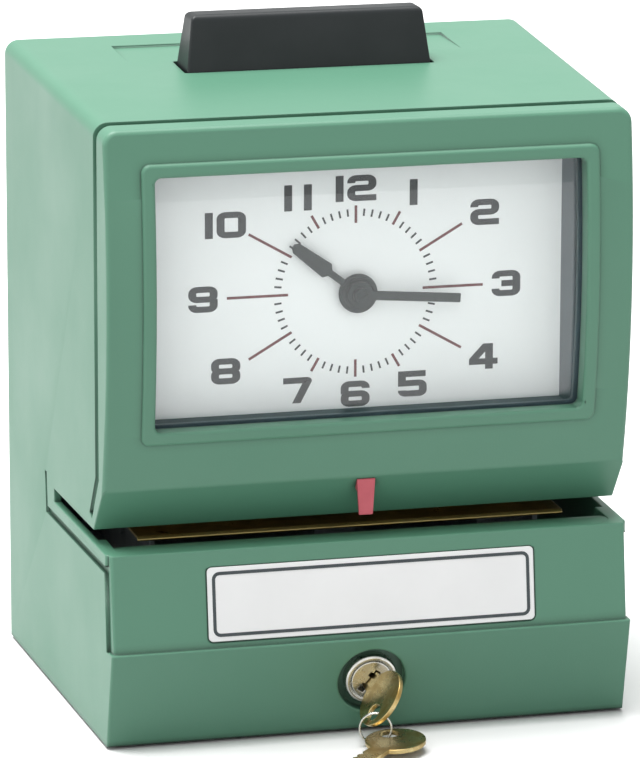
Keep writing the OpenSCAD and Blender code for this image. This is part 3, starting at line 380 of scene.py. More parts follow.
# What surface() is given for each finish; tint and worn are shares of its colour, or colours
INK = dict(rough=(0.5, 0.65), bump=0.06, wear=0.0, radius=0.0001, Scale=2400.0, Mottle_Scale=160.0)
METAL = dict(pattern=drawn_lines, metallic=1.0, depth=0.00004)
FINISHES = {
    # The green moulding gets painted shade in its inside corners, from ambient occlusion.
    "green_moulding": dict(
        source="body", tint=0.975, rough=(0.4, 0.48), bump=0.14, depth=0.00012, wear=0.35,
        worn=1.35, radius=0.0008, dust=0.95, Scale=1500.0, Mottle_Scale=16.0),
    "groove_shade": dict(
        source="body", share=0.4, tint=0.8, rough=(0.5, 0.65), bump=0.12, wear=0.0, specular=0.2,
        Scale=1500.0, Mottle_Scale=60.0),
    "black_moulding": dict(
        source="bar", tint=0.8, rough=(0.38, 0.5), bump=0.12, wear=0.4, worn=2.0, specular=0.32,
        Scale=1800.0, Mottle_Scale=40.0),
    "dial_enamel": dict(
        source="dial", tint=0.97, rough=(0.45, 0.58), bump=0.05, wear=0.1, Scale=900.0,
        Mottle_Scale=18.0),
    # Painted shade: a dark blue-grey for the dial tray's walls and the lens retainer, which lie in
    # shade.
    "tray_lacquer": dict(
        source="tray", tint=0.85, rough=(0.3, 0.42), bump=0.06, Scale=1200.0, Mottle_Scale=24.0),
    "dial_ink": dict(INK, source="ink", tint=0.86, specular=0.1),
    "border_ink": dict(INK, source="border", tint=0.86),
    "mark_ink": dict(INK, source="mark", tint=0.84, specular=0.1),
    "hand_lacquer": dict(
        source="hand", tint=0.85, rough=(0.4, 0.52), bump=0.08, wear=0.5, radius=0.0003,
        specular=0.15, Scale=2600.0, Mottle_Scale=120.0),
    "plate_enamel": dict(
        source="plate", tint=0.96, rough=(0.28, 0.4), bump=0.04, wear=0.25,
        worn=srgb(190, 192, 190), Scale=1100.0, Mottle_Scale=34.0),
    "pointer_paint": dict(
        source="pointer", tint=0.88, rough=(0.34, 0.46), bump=0.08, wear=0.4, radius=0.0002,
        Scale=2000.0, Mottle_Scale=120.0),
    "rubber": dict(
        source="rubber", tint=1.4, rough=(0.7, 0.86), bump=0.2, wear=0.2, specular=0.3,
        Scale=1300.0, Mottle_Scale=90.0),
    "nickel_plate": dict(
        METAL, source="nickel", tint=0.82, rough=(0.16, 0.34), bump=0.06, wear=0.5, Scale=900.0,
        Stretch=(1.0, 1.0, 0.1), Patch_Scale=140.0),
    "bright_brass": dict(
        METAL, source="brass", tint=srgb(150, 122, 66), rough=(0.2, 0.38), bump=0.08, wear=0.5,
        worn=srgb(226, 204, 150), Scale=1100.0, Stretch=(0.1, 1.0, 1.0), Patch_Scale=120.0),
    "zinc_plate": dict(
        METAL, source="zinc", tint=srgb(168, 173, 178), rough=(0.34, 0.46), bump=0.08, wear=0.4,
        Scale=700.0, Stretch=(1.0, 1.0, 0.06), Patch_Scale=110.0),
    "yellow_zinc_plate": dict(
        METAL, source="yellow_zinc", tint=srgb(160, 148, 96), rough=(0.26, 0.42), bump=0.07,
        wear=0.4, worn=srgb(214, 196, 150), Scale=700.0, Stretch=(0.05, 1.0, 1.0),
        Patch_Scale=70.0),
    "motor_lacquer": dict(
        METAL, source="motor", tint=0.8, rough=(0.38, 0.52), metallic=0.6, bump=0.08, depth=0.00005,
        wear=0.6, Scale=600.0, Stretch=(1.0, 0.05, 1.0), Patch_Scale=80.0),
    "type_steel": dict(
        METAL, source="steel", tint=srgb(46, 42, 58), rough=(0.34, 0.56), metallic=0.9, bump=0.1,
        depth=0.00005, wear=0.7, worn=srgb(150, 152, 154), Scale=900.0, Stretch=(0.1, 1.0, 1.0),
        Patch_Scale=180.0),
}


def ribbon_cloth():
    """Inked cloth with a plain weave across and along the ribbon."""
    base = tuple(bpy.context.scene.recorder_colours.ribbon)
    material, tree, shader = blank_material("ribbon_cloth")
    where = own_place(tree)
    threads = []
    for direction in ("X", "Y"):
        wave = add(tree, "TexWave", Vector=where, Scale=900.0, Distortion=0.4, Detail=1.0)
        wave.bands_direction = direction
        threads.append(wave.outputs["Fac"])
    weave = combine(tree, "MULTIPLY", *threads)
    blots = add(tree, "TexNoise", Vector=where, Scale=240.0, Detail=4.0)
    inked = mix_colours(tree, blots.outputs["Fac"], base, shade(base, 2.2))
    relief = add(tree, "Bump", Strength=0.4, Distance=0.00008, Height=weave.outputs[0])
    fill(tree, shader, Base_Color=inked, Normal=relief.outputs["Normal"], Roughness=0.85,
         Sheen_Weight=0.3)
    return material


def clear_acrylic():
    """Clear window: glass to the eye, open to the light that falls through it."""
    material, tree, shader = blank_material("clear_acrylic")
    haze = add(tree, "TexNoise", Vector=own_place(tree), Scale=55.0, Detail=5.0, Roughness=0.65,
               Distortion=0.8)
    rubbed = add(tree, "MapRange", Value=haze.outputs["Fac"], From_Min=0.45, From_Max=0.8,
                 To_Max=0.05)
    fill(tree, shader, Roughness=rubbed.outputs["Result"], Base_Color=(0.97, 0.985, 0.985, 1.0),
         Transmission_Weight=1.0, IOR=1.46)
    rays, clear = add(tree, "LightPath"), add(tree, "BsdfTransparent")
    either = mix_shaders(tree, rays.outputs["Is Shadow Ray"], shader.outputs["BSDF"],
                         clear.outputs["BSDF"])
    feed(tree, tree.nodes["Material Output"].inputs["Surface"], either)
    return material


OTHERS = {"ribbon_cloth": ribbon_cloth, "clear_acrylic": clear_acrylic}


def finish(name):
    """Material of a finish, made once."""
    held = bpy.data.materials
    if name in held:
        return held[name]
    return surface(name, **FINISHES[name]) if name in FINISHES else OTHERS[name]()


# Meshes and pieces

def new_piece(name, mesh, body, coat, *replaced):
    """Object at the origin that rides on a body, in a finish."""
    piece = bpy.data.objects.new(name, mesh)
    bpy.context.scene.collection.objects.link(piece)
    mesh.materials.clear()
    mesh.materials.append(finish(coat))
    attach(piece, body)
    if replaced:
        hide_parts(*replaced)
    return piece


def built(name, bm, body, coat, *replaced):
    """New piece from a bmesh."""
    return new_piece(name, to_mesh(name, bm), body, coat, *replaced)


def to_mesh(name, bm):
    """Mesh of a bmesh, smooth but for its sharp edges."""
    bm.normal_update()
    mesh = bpy.data.meshes.new(name)
    bm.to_mesh(mesh)
    bm.free()
    mesh.shade_smooth()
    mesh.set_sharp_from_angle(angle=SMOOTH)
    return mesh


def welded(node, weld=WELD):
    """Copy of a CAD node's mesh with its loose triangles merged at their corners."""
    bm = bmesh.new()
    bm.from_mesh(NODES[node].data)
    bmesh.ops.remove_doubles(bm, verts=bm.verts, dist=weld)
    return bm


def merged(node, weld=WELD):
    """Welded copy of a CAD node's mesh with its flat triangles joined into faces."""
    bm = welded(node, weld)
    bmesh.ops.dissolve_limit(bm, angle_limit=FLAT, verts=bm.verts, edges=bm.edges)
    return bm


def everything(bm):
    return bm.verts[:] + bm.edges[:] + bm.faces[:]


def only(kind, geometry):
    return [item for item in geometry if isinstance(item, kind)]


def round_edges(piece, width, segments=2, weighted=False):
    """Rounds a piece's edges with a Bevel modifier."""
    bevel = piece.modifiers.new("rounded_edges", "BEVEL")
    bevel.width = width
    bevel.segments = segments
    bevel.limit_method = "WEIGHT" if weighted else "ANGLE"
    bevel.angle_limit = SHARP
    bevel.use_clamp_overlap = False
    even = piece.modifiers.new("even_shading", "WEIGHTED_NORMAL")
    even.keep_sharp = True
    even.weight = 80


def softened(node, name, coat, width, segments=2):
    """Copy of a CAD node with rounded edges that stands for the node."""
    piece = built(name, merged(node), NODES[node]["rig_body"], coat, node)
    round_edges(piece, width, segments)
    return piece


def finish_nodes(coat, *names):
    """Gives CAD nodes their finish."""
    material = finish(coat)
    for name in names:
        node = NODES[name]
        if not node.material_slots:
            node.data.materials.append(material)
        for held in node.material_slots:
            held.link = "OBJECT"
            held.material = material


def solids(node):
    """Boxes of a CAD node's separate solids, as lowest and highest corners."""
    bm = welded(node)
    seen, boxes = set(), []
    for start in bm.verts:
        if start in seen:
            continue
        seen.add(start)
        island, reach = [start], [start]
        while reach:
            vert = reach.pop()
            for edge in vert.link_edges:
                other = edge.other_vert(vert)
                if other not in seen:
                    seen.add(other)
                    island.append(other)
                    reach.append(other)
        points = [v.co for v in island]
        boxes.append(tuple(Vector(pick(p[i] for p in points) for i in range(3))
                           for pick in (min, max)))
    bm.free()
    return boxes


def spun(bm, profile, matrix, steps=64, closed=True):
    """Turns a profile of radius and height about the local Z axis and puts it in place."""
    verts = [bm.verts.new((radius, 0.0, height)) for radius, height in profile]
    edges = [bm.edges.new(pair) for pair in zip(verts, verts[1:])]
    if closed:
        edges.append(bm.edges.new((verts[-1], verts[0])))
    before = set(bm.verts) - set(verts)
    bmesh.ops.spin(bm, geom=verts + edges, cent=(0, 0, 0), axis=(0, 0, 1), angle=2 * math.pi,
                   steps=steps, use_merge=True)
    made = [v for v in bm.verts if v not in before]
    bmesh.ops.remove_doubles(bm, verts=made, dist=1e-7)
    made = [v for v in bm.verts if v not in before]
    bmesh.ops.recalc_face_normals(bm, faces=[f for f in bm.faces if f.verts[0] not in before])
    bmesh.ops.transform(bm, matrix=matrix, verts=made)


def facing(direction):
    """Turn that takes local Z to a direction."""
    return Vector((0, 0, 1)).rotation_difference(Vector(direction)).to_matrix().to_4x4()


def slotted_head(bm, centre, direction, radius, height, turn=0.0):
    """Screw head with a crowned rim and a slot, its foot at the centre given."""
    rim_radius, half_slot, slot_depth = height * 0.4, radius * 0.13, height * 0.5
    part = bmesh.new()
    bmesh.ops.create_circle(part, cap_ends=True, segments=32, radius=radius)
    top = bmesh.ops.extrude_face_region(part, geom=part.faces[:])["geom"]
    bmesh.ops.translate(part, verts=only(bmesh.types.BMVert, top), vec=(0, 0, height))
    rim = list(dict.fromkeys(e for f in only(bmesh.types.BMFace, top) for e in f.edges))
    bmesh.ops.bevel(part, geom=rim, offset=rim_radius, segments=3, profile=0.5, affect="EDGES",
                    material=-1)
    for side in (-1, 1):
        bmesh.ops.bisect_plane(part, geom=everything(part), plane_co=(0, side * half_slot, 0),
                               plane_no=(0, side, 0))
    part.faces.ensure_lookup_table()
    slot = [f for f in part.faces if f.normal.z > 0.9 and abs(f.calc_center_median().y) < half_slot
            and f.calc_center_median().z > height * 0.95]
    sunk = bmesh.ops.extrude_face_region(part, geom=slot)["geom"]
    bmesh.ops.delete(part, geom=slot, context="FACES")
    bmesh.ops.translate(part, verts=only(bmesh.types.BMVert, sunk), vec=(0, 0, -slot_depth))
    bmesh.ops.recalc_face_normals(part, faces=part.faces[:])
    matrix = Matrix.Translation(centre) @ facing(direction) @ Matrix.Rotation(turn, 4, "Z")
    bmesh.ops.transform(part, matrix=matrix, verts=part.verts)
    held = bpy.data.meshes.new("head")
    part.to_mesh(held)
    part.free()
    bm.from_mesh(held)
    bpy.data.meshes.remove(held)


# Printed strokes, numerals and marks

LAYER_STEP = 0.1                 # each stroke of a print stands out further by this share
NUMERAL_PLACES = {               # millimetres right of and above the dial's centre
    12: (0, 39.6), 1: (22.5, 37), 2: (50.5, 28), 3: (59.2, 0), 4: (50.5, -28), 5: (22.5, -37),
    6: (0, -39.6), 7: (-22.5, -37), 8: (-50.5, -28), 9: (-59.2, 0), 10: (-50.5, 28),
    11: (-22.5, 37),
}
PAIR_GAP, ONES_GAP = 0.48, 1.5   # space between two digits, and between two ones, in stems
HOUR_MARKS = ((26.3, 33.0), (28.8, 34.5), (28.8, 48.0), (26.3, 50.0))  # radii, upright to level


def strip(bm, points, closed, corner, depth):
    """Standing strip along a path drawn in x and z, its corners rounded."""
    verts = [bm.verts.new((x, 0.0, z)) for x, z in points]
    pairs = list(zip(verts, verts[1:]))
    if closed:
        pairs.append((verts[-1], verts[0]))
    edges = [bm.edges.new(pair) for pair in pairs]
    raised = bmesh.ops.extrude_edge_only(bm, edges=edges)["geom"]
    far = set(only(bmesh.types.BMVert, raised))
    bmesh.ops.translate(bm, verts=list(far), vec=(0, -depth, 0))
    standing = [e for v in verts for e in v.link_edges
                if e.other_vert(v) in far and len(e.link_faces) == 2]
    if corner and standing:
        bmesh.ops.bevel(bm, geom=standing, offset=corner, segments=4, profile=0.5, affect="EDGES",
                        material=-1)


def printed(paths, width, depth, limits=None):
    """Mesh of strokes of one width; a path is its points, whether it closes and a corner radius."""
    bm = bmesh.new()
    for layer, (points, closed, corner) in enumerate(paths):
        strip(bm, points, closed, corner, depth * (1 + LAYER_STEP * layer))
    flat = bpy.data.meshes.new("strokes")
    bm.to_mesh(flat)
    bm.free()
    holder = bpy.data.objects.new("strokes", flat)
    bpy.context.scene.collection.objects.link(holder)
    thick = holder.modifiers.new("width", "SOLIDIFY")
    thick.thickness = width
    thick.offset = 0.0
    thick.use_even_offset = True
    thick.use_rim = True
    graph = bpy.context.evaluated_depsgraph_get()
    mesh = bpy.data.meshes.new_from_object(holder.evaluated_get(graph))
    bpy.data.objects.remove(holder)
    bpy.data.meshes.remove(flat)
    if limits:
        bm = bmesh.new()
        bm.from_mesh(mesh)
        for height, way in zip(limits, (-1, 1)):
            bmesh.ops.bisect_plane(bm, geom=everything(bm), plane_co=(0, 0, height),
                                   plane_no=(0, 0, way), clear_outer=True)
            bmesh.ops.holes_fill(bm, edges=[e for e in bm.edges if e.is_boundary], sides=0)
        bm.to_mesh(mesh)
        bm.free()
    return mesh


def digit_paths(digit, width, height, bar):
    """Centre lines of a numeral in a wide square-cornered style."""
    right, top = width / 2 - bar / 2, height / 2 - bar / 2
    left, low, mid = -right, -top, 0.0
    tick = height * 0.3
    hook, tail = height / 2 - tick, tick - height / 2
    curve = bar * 0.62
    upper = [(left, mid), (right, mid), (right, top), (left, top)]
    lower = [(left, low), (right, low), (right, mid), (left, mid)]
    shapes = {
        "0": [([(left, low), (right, low), (right, top), (left, top)], True, curve)],
        "1": [([(0, -height / 2), (0, height / 2)], False, 0)],
        "2": [([(left, hook), (left, top), (right, top), (right, mid), (left, mid), (left, low),
                (width / 2, low)], False, curve)],
        "3": [([(left, hook), (left, top), (right, top), (right, low), (left, low), (left, tail)],
               False, curve),
              ([(-width * 0.16, mid), (right, mid)], False, 0)],
        "4": [([(width * 0.2, -height / 2), (width * 0.2, height / 2)], False, 0),
              ([(-width / 2, -height * 0.2), (width / 2, -height * 0.2)], False, 0),
              ([(width * 0.218, top + bar * 0.82), (left * 1.08, -height * 0.16)], False, 0)],
        "5": [([(width / 2 - bar * 0.15, top), (left, top), (left, mid - bar * 0.4)], False, 0),
              ([(left, mid + bar * 0.1), (right, mid + bar * 0.1), (right, low), (left, low),
                (left, tick * 0.82 - height / 2)], False, bar * 0.5)],
        "6": [(lower, True, curve),
              ([(left, mid), (left, top), (right, top), (right, hook)], False, curve)],
        "7": [([(-width / 2, top), (right, top), (-width * 0.1, low - bar)], False, bar * 0.2)],
        "8": [(lower, True, curve), (upper, True, curve)],
        "9": [(upper, True, curve),
              ([(right, mid), (right, low), (left, low), (left, tail)], False, curve)],
    }
    return shapes[digit]


def dial_point(x, z):
    """Point on the dial's face, from its centre, in metres."""
    centre = Vector(JOINTS["minute_turn"]["pos_m"])
    return Vector((x, centre.y, centre.z + z))


def numerals(sizes):
    """Mesh of the twelve numerals on the dial's face."""
    stretch = sizes.numeral_stem / sizes.numeral_bar
    drawn_width = sizes.numeral_width / stretch
    half = sizes.numeral_height / 2
    made = {d: printed(digit_paths(d, drawn_width, sizes.numeral_height, sizes.numeral_bar),
                       sizes.numeral_bar, sizes.print_depth, (-half, half)) for d in "0123456789"}
    bm = bmesh.new()
    for hour, (x, z) in NUMERAL_PLACES.items():
        text = str(hour)
        widths = [sizes.numeral_stem if d == "1" else sizes.numeral_width for d in text]
        gap = sizes.numeral_stem * (ONES_GAP if text == "11" else PAIR_GAP)
        at = x * MM - (sum(widths) + gap * (len(text) - 1)) / 2
        for digit, wide in zip(text, widths):
            copy = made[digit].copy()
            centre = dial_point(at + wide / 2, z * MM)
            copy.transform(Matrix.Translation(centre) @ Matrix.Diagonal((stretch, 1, 1, 1)))
            bm.from_mesh(copy)
            bpy.data.meshes.remove(copy)
            at += wide + gap
    for mesh in made.values():
        bpy.data.meshes.remove(mesh)
    return to_mesh("dial_numerals", bm)


def mark(bm, turn, inner, outer, width, depth):
    """One radial mark on the dial, as a thin plate turned clockwise from upright."""
    made = bmesh.ops.create_cube(bm, size=1.0)["verts"]
    bmesh.ops.scale(bm, vec=(width, depth, outer - inner), verts=made)
    bmesh.ops.translate(bm, vec=(0, -depth / 2, (inner + outer) / 2), verts=made)
    matrix = Matrix.Translation(dial_point(0, 0)) @ Matrix.Rotation(turn, 4, "Y")
    bmesh.ops.transform(bm, matrix=matrix, verts=made)


# Operators: one for each piece or group of like pieces

class RecorderOperator:
    """Settings shared by the recorder's operators"""
    bl_options = {"REGISTER", "UNDO"}


class RECORDER_OT_cover(RecorderOperator, Operator):
    """Cover moulding with rounded edges, raised bezel and card pointer"""
    bl_idname = "recorder.cover"
    bl_label = "Cover"

    COVER_WELD = 0.02 * MM           # closes the fine steps beside the corner arcs
    DRAFT = math.tan(math.radians(1.52))
    FRONT_DEPTH = 153 * MM           # the curved front lies further forward than this
    REVEAL = (144.7, 148.1)          # reveal groove, in millimetres forward of the back
    REVEAL_SUNK = 0.4                # and its floor and walls, in millimetres inside the side
    BELOW_REVEAL = 130               # the reveal's lower end lies further forward than this
    END_Z = 85 * MM                  # and above this
    END_FLOOR, END_WALL = (2.4, 2.8), (1.2, 1.4)      # its faces, in millimetres inside the side
    FINE_Z = (39.2 * MM, 86 * MM)    # heights of the fine grooves beside the slot
    FINE_FLOOR, FINE_WALL = (1.35, 1.65), (0.6, 0.9)  # their faces, in millimetres inside the side
    WIDER = 1.4 * MM                 # far walls of the grooves move by this
    LOW_GROOVE_Z = 72 * MM           # level grooves below this height get wider
    SLOT_LIP_Z = (69 * MM, 75.5 * MM)    # lip of the slot's floor, left sharp
    BLOCK_TOP_Z = (74 * MM, 76 * MM)     # top edge of the block that carries the nameplate
    SIDE_BAND = 6 * MM               # edges nearer to the side than this belong to its rim
    RIM_DEPTH = 142 * MM             # the reveal's lips lie further forward than this
    CHIN_BAND, WINDOW_BAND, TOP_BAND = 5 * MM, 7 * MM, 8 * MM    # strips beside level edges
    NEAR = 1 * MM                    # and how far they reach past the edge
    JOIN_ANGLE, STRIP_ANGLE = math.radians(6), math.radians(3)
    SHARES = {"rim": 1.0, "bezel": 0.75, "chin": 0.5, "block": 0.6, "skirt": 0.4, "reveal": 0.5,
              "rest": 0.15}          # of the main radius

    def execute(self, context):
        sizes = context.scene.recorder_sizes
        bm = merged("case_cover", self.COVER_WELD)
        levels, wide = self.levels(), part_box("case_cover")[1].x
        triangles = [face for face in bm.faces if len(face.verts) == 3]
        bmesh.ops.join_triangles(bm, faces=triangles, angle_face_threshold=self.JOIN_ANGLE,
                                 angle_shape_threshold=math.pi)
        self.shade_grooves(bm, levels, wide)
        self.join_strips(bm, levels)
        weights = bm.edges.layers.float.new("bevel_weight_edge")
        for edge in bm.edges:
            if len(edge.link_faces) == 2 and edge.calc_face_angle_signed(0.0) > SHARP:
                edge[weights] = self.weight(edge, levels, wide)
        piece = built("cover_moulding", bm, "cover", "green_moulding", "case_cover")
        piece.data.materials.append(finish("groove_shade"))
        round_edges(piece, sizes.edge, 3, weighted=True)
        softened("card_pointer", "red_pointer", "pointer_paint", 0.25 * MM)
        return {"FINISHED"}

    @staticmethod
    def levels():
        """Heights of the chin, the window's lower and upper edge and the front's top edge."""
        low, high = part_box("dial_lens")
        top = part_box("case_cover")[1].z
        lap, top_edge = 1.6 * MM, 7.7 * MM
        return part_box("card_pointer")[1].z + 1 * MM, low.z + lap, high.z - lap, top - top_edge

    def is_front(self, face):
        return face.normal.y < -0.85 and face.calc_center_median().y < BACK_Y - self.FRONT_DEPTH

    def in_groove(self, face, levels, wide):
        """Whether a face lies in the reveal groove or in a fine groove beside the slot."""
        middle = face.calc_center_median()
        depth = (BACK_Y - middle.y) / MM
        sunk = (wide - abs(middle.x)) / MM - depth * self.DRAFT
        if middle.z > levels[0] and self.REVEAL[0] < depth < self.REVEAL[1]:
            return sunk > self.REVEAL_SUNK
        if depth > self.BELOW_REVEAL and self.END_Z < middle.z < levels[0]:
            floor, wall = self.END_FLOOR, self.END_WALL
        elif self.FINE_Z[0] < middle.z < self.FINE_Z[1]:
            floor, wall = self.FINE_FLOOR, self.FINE_WALL
        else:
            return False
        if face.normal.x * middle.x > 0.9 * abs(middle.x):
            return floor[0] < sunk < floor[1]
        return wall[0] < sunk < wall[1] and abs(face.normal.x) < 0.1

    @staticmethod
    def is_far_wall(face):
        return face.normal.y < -TURNED or face.normal.z > TURNED

    def shade_grooves(self, bm, levels, wide):
        """Darkens the grooves and moves their far walls out to the width that they show."""
        bm.normal_update()
        back, down = set(), set()
        for face in bm.faces:
            if not self.in_groove(face, levels, wide):
                continue
            face.material_index = 1
            if self.is_far_wall(face):
                (back if face.normal.y < -TURNED else down).update(face.verts)
        bmesh.ops.translate(bm, verts=list(back), vec=(0, self.WIDER, 0))
        bmesh.ops.translate(bm, verts=[v for v in down if v.co.z < self.LOW_GROOVE_Z],
                            vec=(0, 0, -self.WIDER))

    def join_strips(self, bm, levels):
        """Joins the narrow strips of the curved front beside its long level edges."""
        chin, low, high, top = levels
        near, window = self.NEAR, self.WINDOW_BAND
        bands = ((chin, chin + self.CHIN_BAND), (low - window, low + near),
                 (high - near, high + window), (top - self.TOP_BAND, top + near))
        joined = []
        for edge in bm.edges:
            level = (edge.verts[0].co.z + edge.verts[1].co.z) / 2
            if (len(edge.link_faces) == 2 and all(self.is_front(face) for face in edge.link_faces)
                    and edge.calc_face_angle(1.0) < self.STRIP_ANGLE
                    and any(start < level < end for start, end in bands)):
                joined.append(edge)
        bmesh.ops.dissolve_edges(bm, edges=joined, use_verts=False)

    def weight(self, edge, levels, wide):
        """Share of the main radius that an edge gets."""
        chin, top = levels[0], levels[3]
        if any(face.material_index == 1 and self.is_far_wall(face) for face in edge.link_faces):
            return 0.0
        middle = (edge.verts[0].co + edge.verts[1].co) / 2
        height, depth = middle.z, BACK_Y - middle.y
        inside = abs(middle.x) < wide - depth * self.DRAFT - self.SIDE_BAND
        front = any(self.is_front(face) for face in edge.link_faces)
        if front and height > chin + self.NEAR:
            return self.SHARES["bezel" if inside and height < top - self.TOP_BAND else "rim"]
        if front and height > chin - self.NEAR:
            return self.SHARES["chin"]
        if inside and self.SLOT_LIP_Z[0] < height < self.SLOT_LIP_Z[1]:
            return 0.0
        if front and height < self.BLOCK_TOP_Z[1]:
            return self.SHARES["block" if height > self.BLOCK_TOP_Z[0] or not inside else "skirt"]
        return self.SHARES["reveal" if depth > self.RIM_DEPTH and height > chin else "rest"]


class RECORDER_OT_push_bar(RecorderOperator, Operator):
    """Push bar with softened edges"""
    bl_idname = "recorder.push_bar"
    bl_label = "Push bar"

    def execute(self, context):
        softened("push_bar", "push_bar_moulding", "black_moulding", 0.7 * MM, 3)
        return {"FINISHED"}


class RECORDER_OT_window(RecorderOperator, Operator):
    """Clear window and the frame that holds it"""
    bl_idname = "recorder.window"
    bl_label = "Window"

    def execute(self, context):
        finish_nodes("clear_acrylic", "dial_lens")
        # The lens retainer is darkened with painted shade.
        finish_nodes("tray_lacquer", "lens_retainer")
        return {"FINISHED"}


class RECORDER_OT_dial(RecorderOperator, Operator):
    """Dial tray with printed numerals and marks"""
    bl_idname = "recorder.dial"
    bl_label = "Dial"

    FACE_AREA = 1e-3                 # the dial's own face is larger than this, in square metres

    def execute(self, context):
        sizes = context.scene.recorder_sizes
        tray = softened("dial", "dial_tray", "dial_enamel", 0.4 * MM)
        # The tray's walls take a dark blue-grey as painted shade; only the dial's face keeps the
        # white enamel.
        tray.data.materials.append(finish("tray_lacquer"))
        for face in tray.data.polygons:
            own = face.normal.y < -TURNED and face.area > self.FACE_AREA
            face.material_index = 0 if own else 1
        new_piece("dial_numerals", numerals(sizes), "chassis", "dial_ink")
        minutes, hours = bmesh.new(), bmesh.new()
        for step in range(60):
            turn = math.radians(6 * step)
            if step % 5:
                mark(minutes, turn, sizes.minute_in, sizes.minute_out, sizes.minute_width,
                     sizes.print_depth)
                continue
            hour = step // 5 % 6
            inner, outer = HOUR_MARKS[min(hour, 6 - hour)]
            mark(hours, turn, inner * MM, outer * MM, sizes.hour_width, sizes.print_depth)
        built("minute_marks", minutes, "chassis", "dial_ink")
        built("hour_marks", hours, "chassis", "mark_ink")
        return {"FINISHED"}


class RECORDER_OT_hands(RecorderOperator, Operator):
    """Hands with rounded edges, hub ring and slotted nut"""
    bl_idname = "recorder.hands"
    bl_label = "Hands"

    NUT_RADIUS, NUT_HEIGHT, NUT_TURN = 2.3 * MM, 1.1 * MM, math.radians(35)
    RING = ((5.6, 0), (7.2, 0), (7.0, 0.5), (6.4, 0.6), (5.8, 0.4))  # radii and heights, in mm

    def execute(self, context):
        height = dial_point(0, 0).z
        for hand in ("hour_hand", "minute_hand"):
            softened(hand, hand + "_blade", "hand_lacquer", 0.2 * MM)
        nut = bmesh.new()
        slotted_head(nut, Vector((0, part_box("minute_hand")[0].y, height)), FRONT, self.NUT_RADIUS,
                     self.NUT_HEIGHT, self.NUT_TURN)
        built("hand_nut", nut, "minute", "hand_lacquer")
        ring = bmesh.new()
        spun(ring, [(radius * MM, rise * MM) for radius, rise in self.RING],
             Matrix.Translation((0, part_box("hour_hand")[0].y, height)) @ facing(FRONT))
        built("hub_ring", ring, "hour", "hand_lacquer")
        return {"FINISHED"}


class RECORDER_OT_nameplate(RecorderOperator, Operator):
    """Bare nameplate with its printed border"""
    bl_idname = "recorder.nameplate"
    bl_label = "Nameplate"

    CORNER = 2.2 * MM                # radius of the border's corners

    def execute(self, context):
        sizes = context.scene.recorder_sizes
        softened("nameplate", "bare_nameplate", "plate_enamel", 0.25 * MM)
        bm = merged("nameplate")
        face = max((f for f in bm.faces if f.normal.y < -0.5), key=lambda f: f.calc_area())
        centre, out = face.calc_center_bounds(), face.normal.copy()
        up = Vector((0, 0, 1)) - out * out.z
        up.normalize()
        right = up.cross(out).normalized()
        wide = max((v.co - centre).dot(right) for v in face.verts) - sizes.border_inset
        tall = max((v.co - centre).dot(up) for v in face.verts) - sizes.border_inset
        bm.free()
        outline = [(-wide, -tall), (wide, -tall), (wide, tall), (-wide, tall)]
        mesh = printed([(outline, True, self.CORNER)], sizes.border_width, sizes.print_depth)
        turn = Matrix((right, -out, up)).transposed().to_4x4()
        mesh.transform(Matrix.Translation(centre) @ turn)
        new_piece("nameplate_border", mesh, "cover", "border_ink")
        return {"FINISHED"}


class RECORDER_OT_lock(RecorderOperator, Operator):
    """Lock barrel turned with its lip and thread, nut, plug and cam"""
    bl_idname = "recorder.lock"
    bl_label = "Lock"

    BORE, FLANGE, THREAD, BACK = 7.85, 10.25, 9.4, -25       # radii and rear end in millimetres
    THREAD_START, PITCH, TURNS, THREAD_CUT = -7.4, 1.25, 14, 0.55

    def execute(self, context):
        joint = JOINTS["lock_turn"]
        matrix = Matrix.Translation(joint["pos_m"]) @ facing(joint["axis"])
        bore, flange, thread = self.BORE, self.FLANGE, self.THREAD
        profile = [(bore, self.BACK), (bore, -1.0), (bore + 0.25, -0.7), (8.35, -0.7), (8.6, -0.35),
                   (9.1, -0.2), (9.6, -0.3), (10.0, -0.65), (flange, -1.3), (flange, -4.5),
                   (thread, -4.5)]
        for i in range(self.TURNS):
            start = self.THREAD_START - i * self.PITCH
            profile += [(thread, start), (thread - self.THREAD_CUT, start - self.PITCH / 2)]
        profile.append((thread, self.BACK))
        bm = bmesh.new()
        spun(bm, [(r * MM, h * MM) for r, h in profile], matrix)
        built("lock_body", bm, "cover", "nickel_plate", "lock_barrel")
        softened("lock_plug", "lock_core", "nickel_plate", 0.2 * MM)
        softened("lock_nut", "lock_hex_nut", "zinc_plate", 0.4 * MM)
        finish_nodes("zinc_plate", "lock_cam", "cam_screw")
        return {"FINISHED"}


class RECORDER_OT_keys(RecorderOperator, Operator):
    """Key in the lock, ring and spare key"""
    bl_idname = "recorder.keys"
    bl_label = "Keys"

    def execute(self, context):
        for node, name in (("key", "key_in_lock"), ("spare_key", "key_on_ring")):
            softened(node, name, "bright_brass", 0.3 * MM, 3)
        finish_nodes("nickel_plate", "key_ring")
        return {"FINISHED"}


class RECORDER_OT_guides(RecorderOperator, Operator):
    """Yellow-plated card guides"""
    bl_idname = "recorder.guides"
    bl_label = "Card guides"

    def execute(self, context):
        for side in ("lower", "upper"):
            softened(side + "_card_guide", side + "_guide_plate", "yellow_zinc_plate", 0.2 * MM)
        return {"FINISHED"}


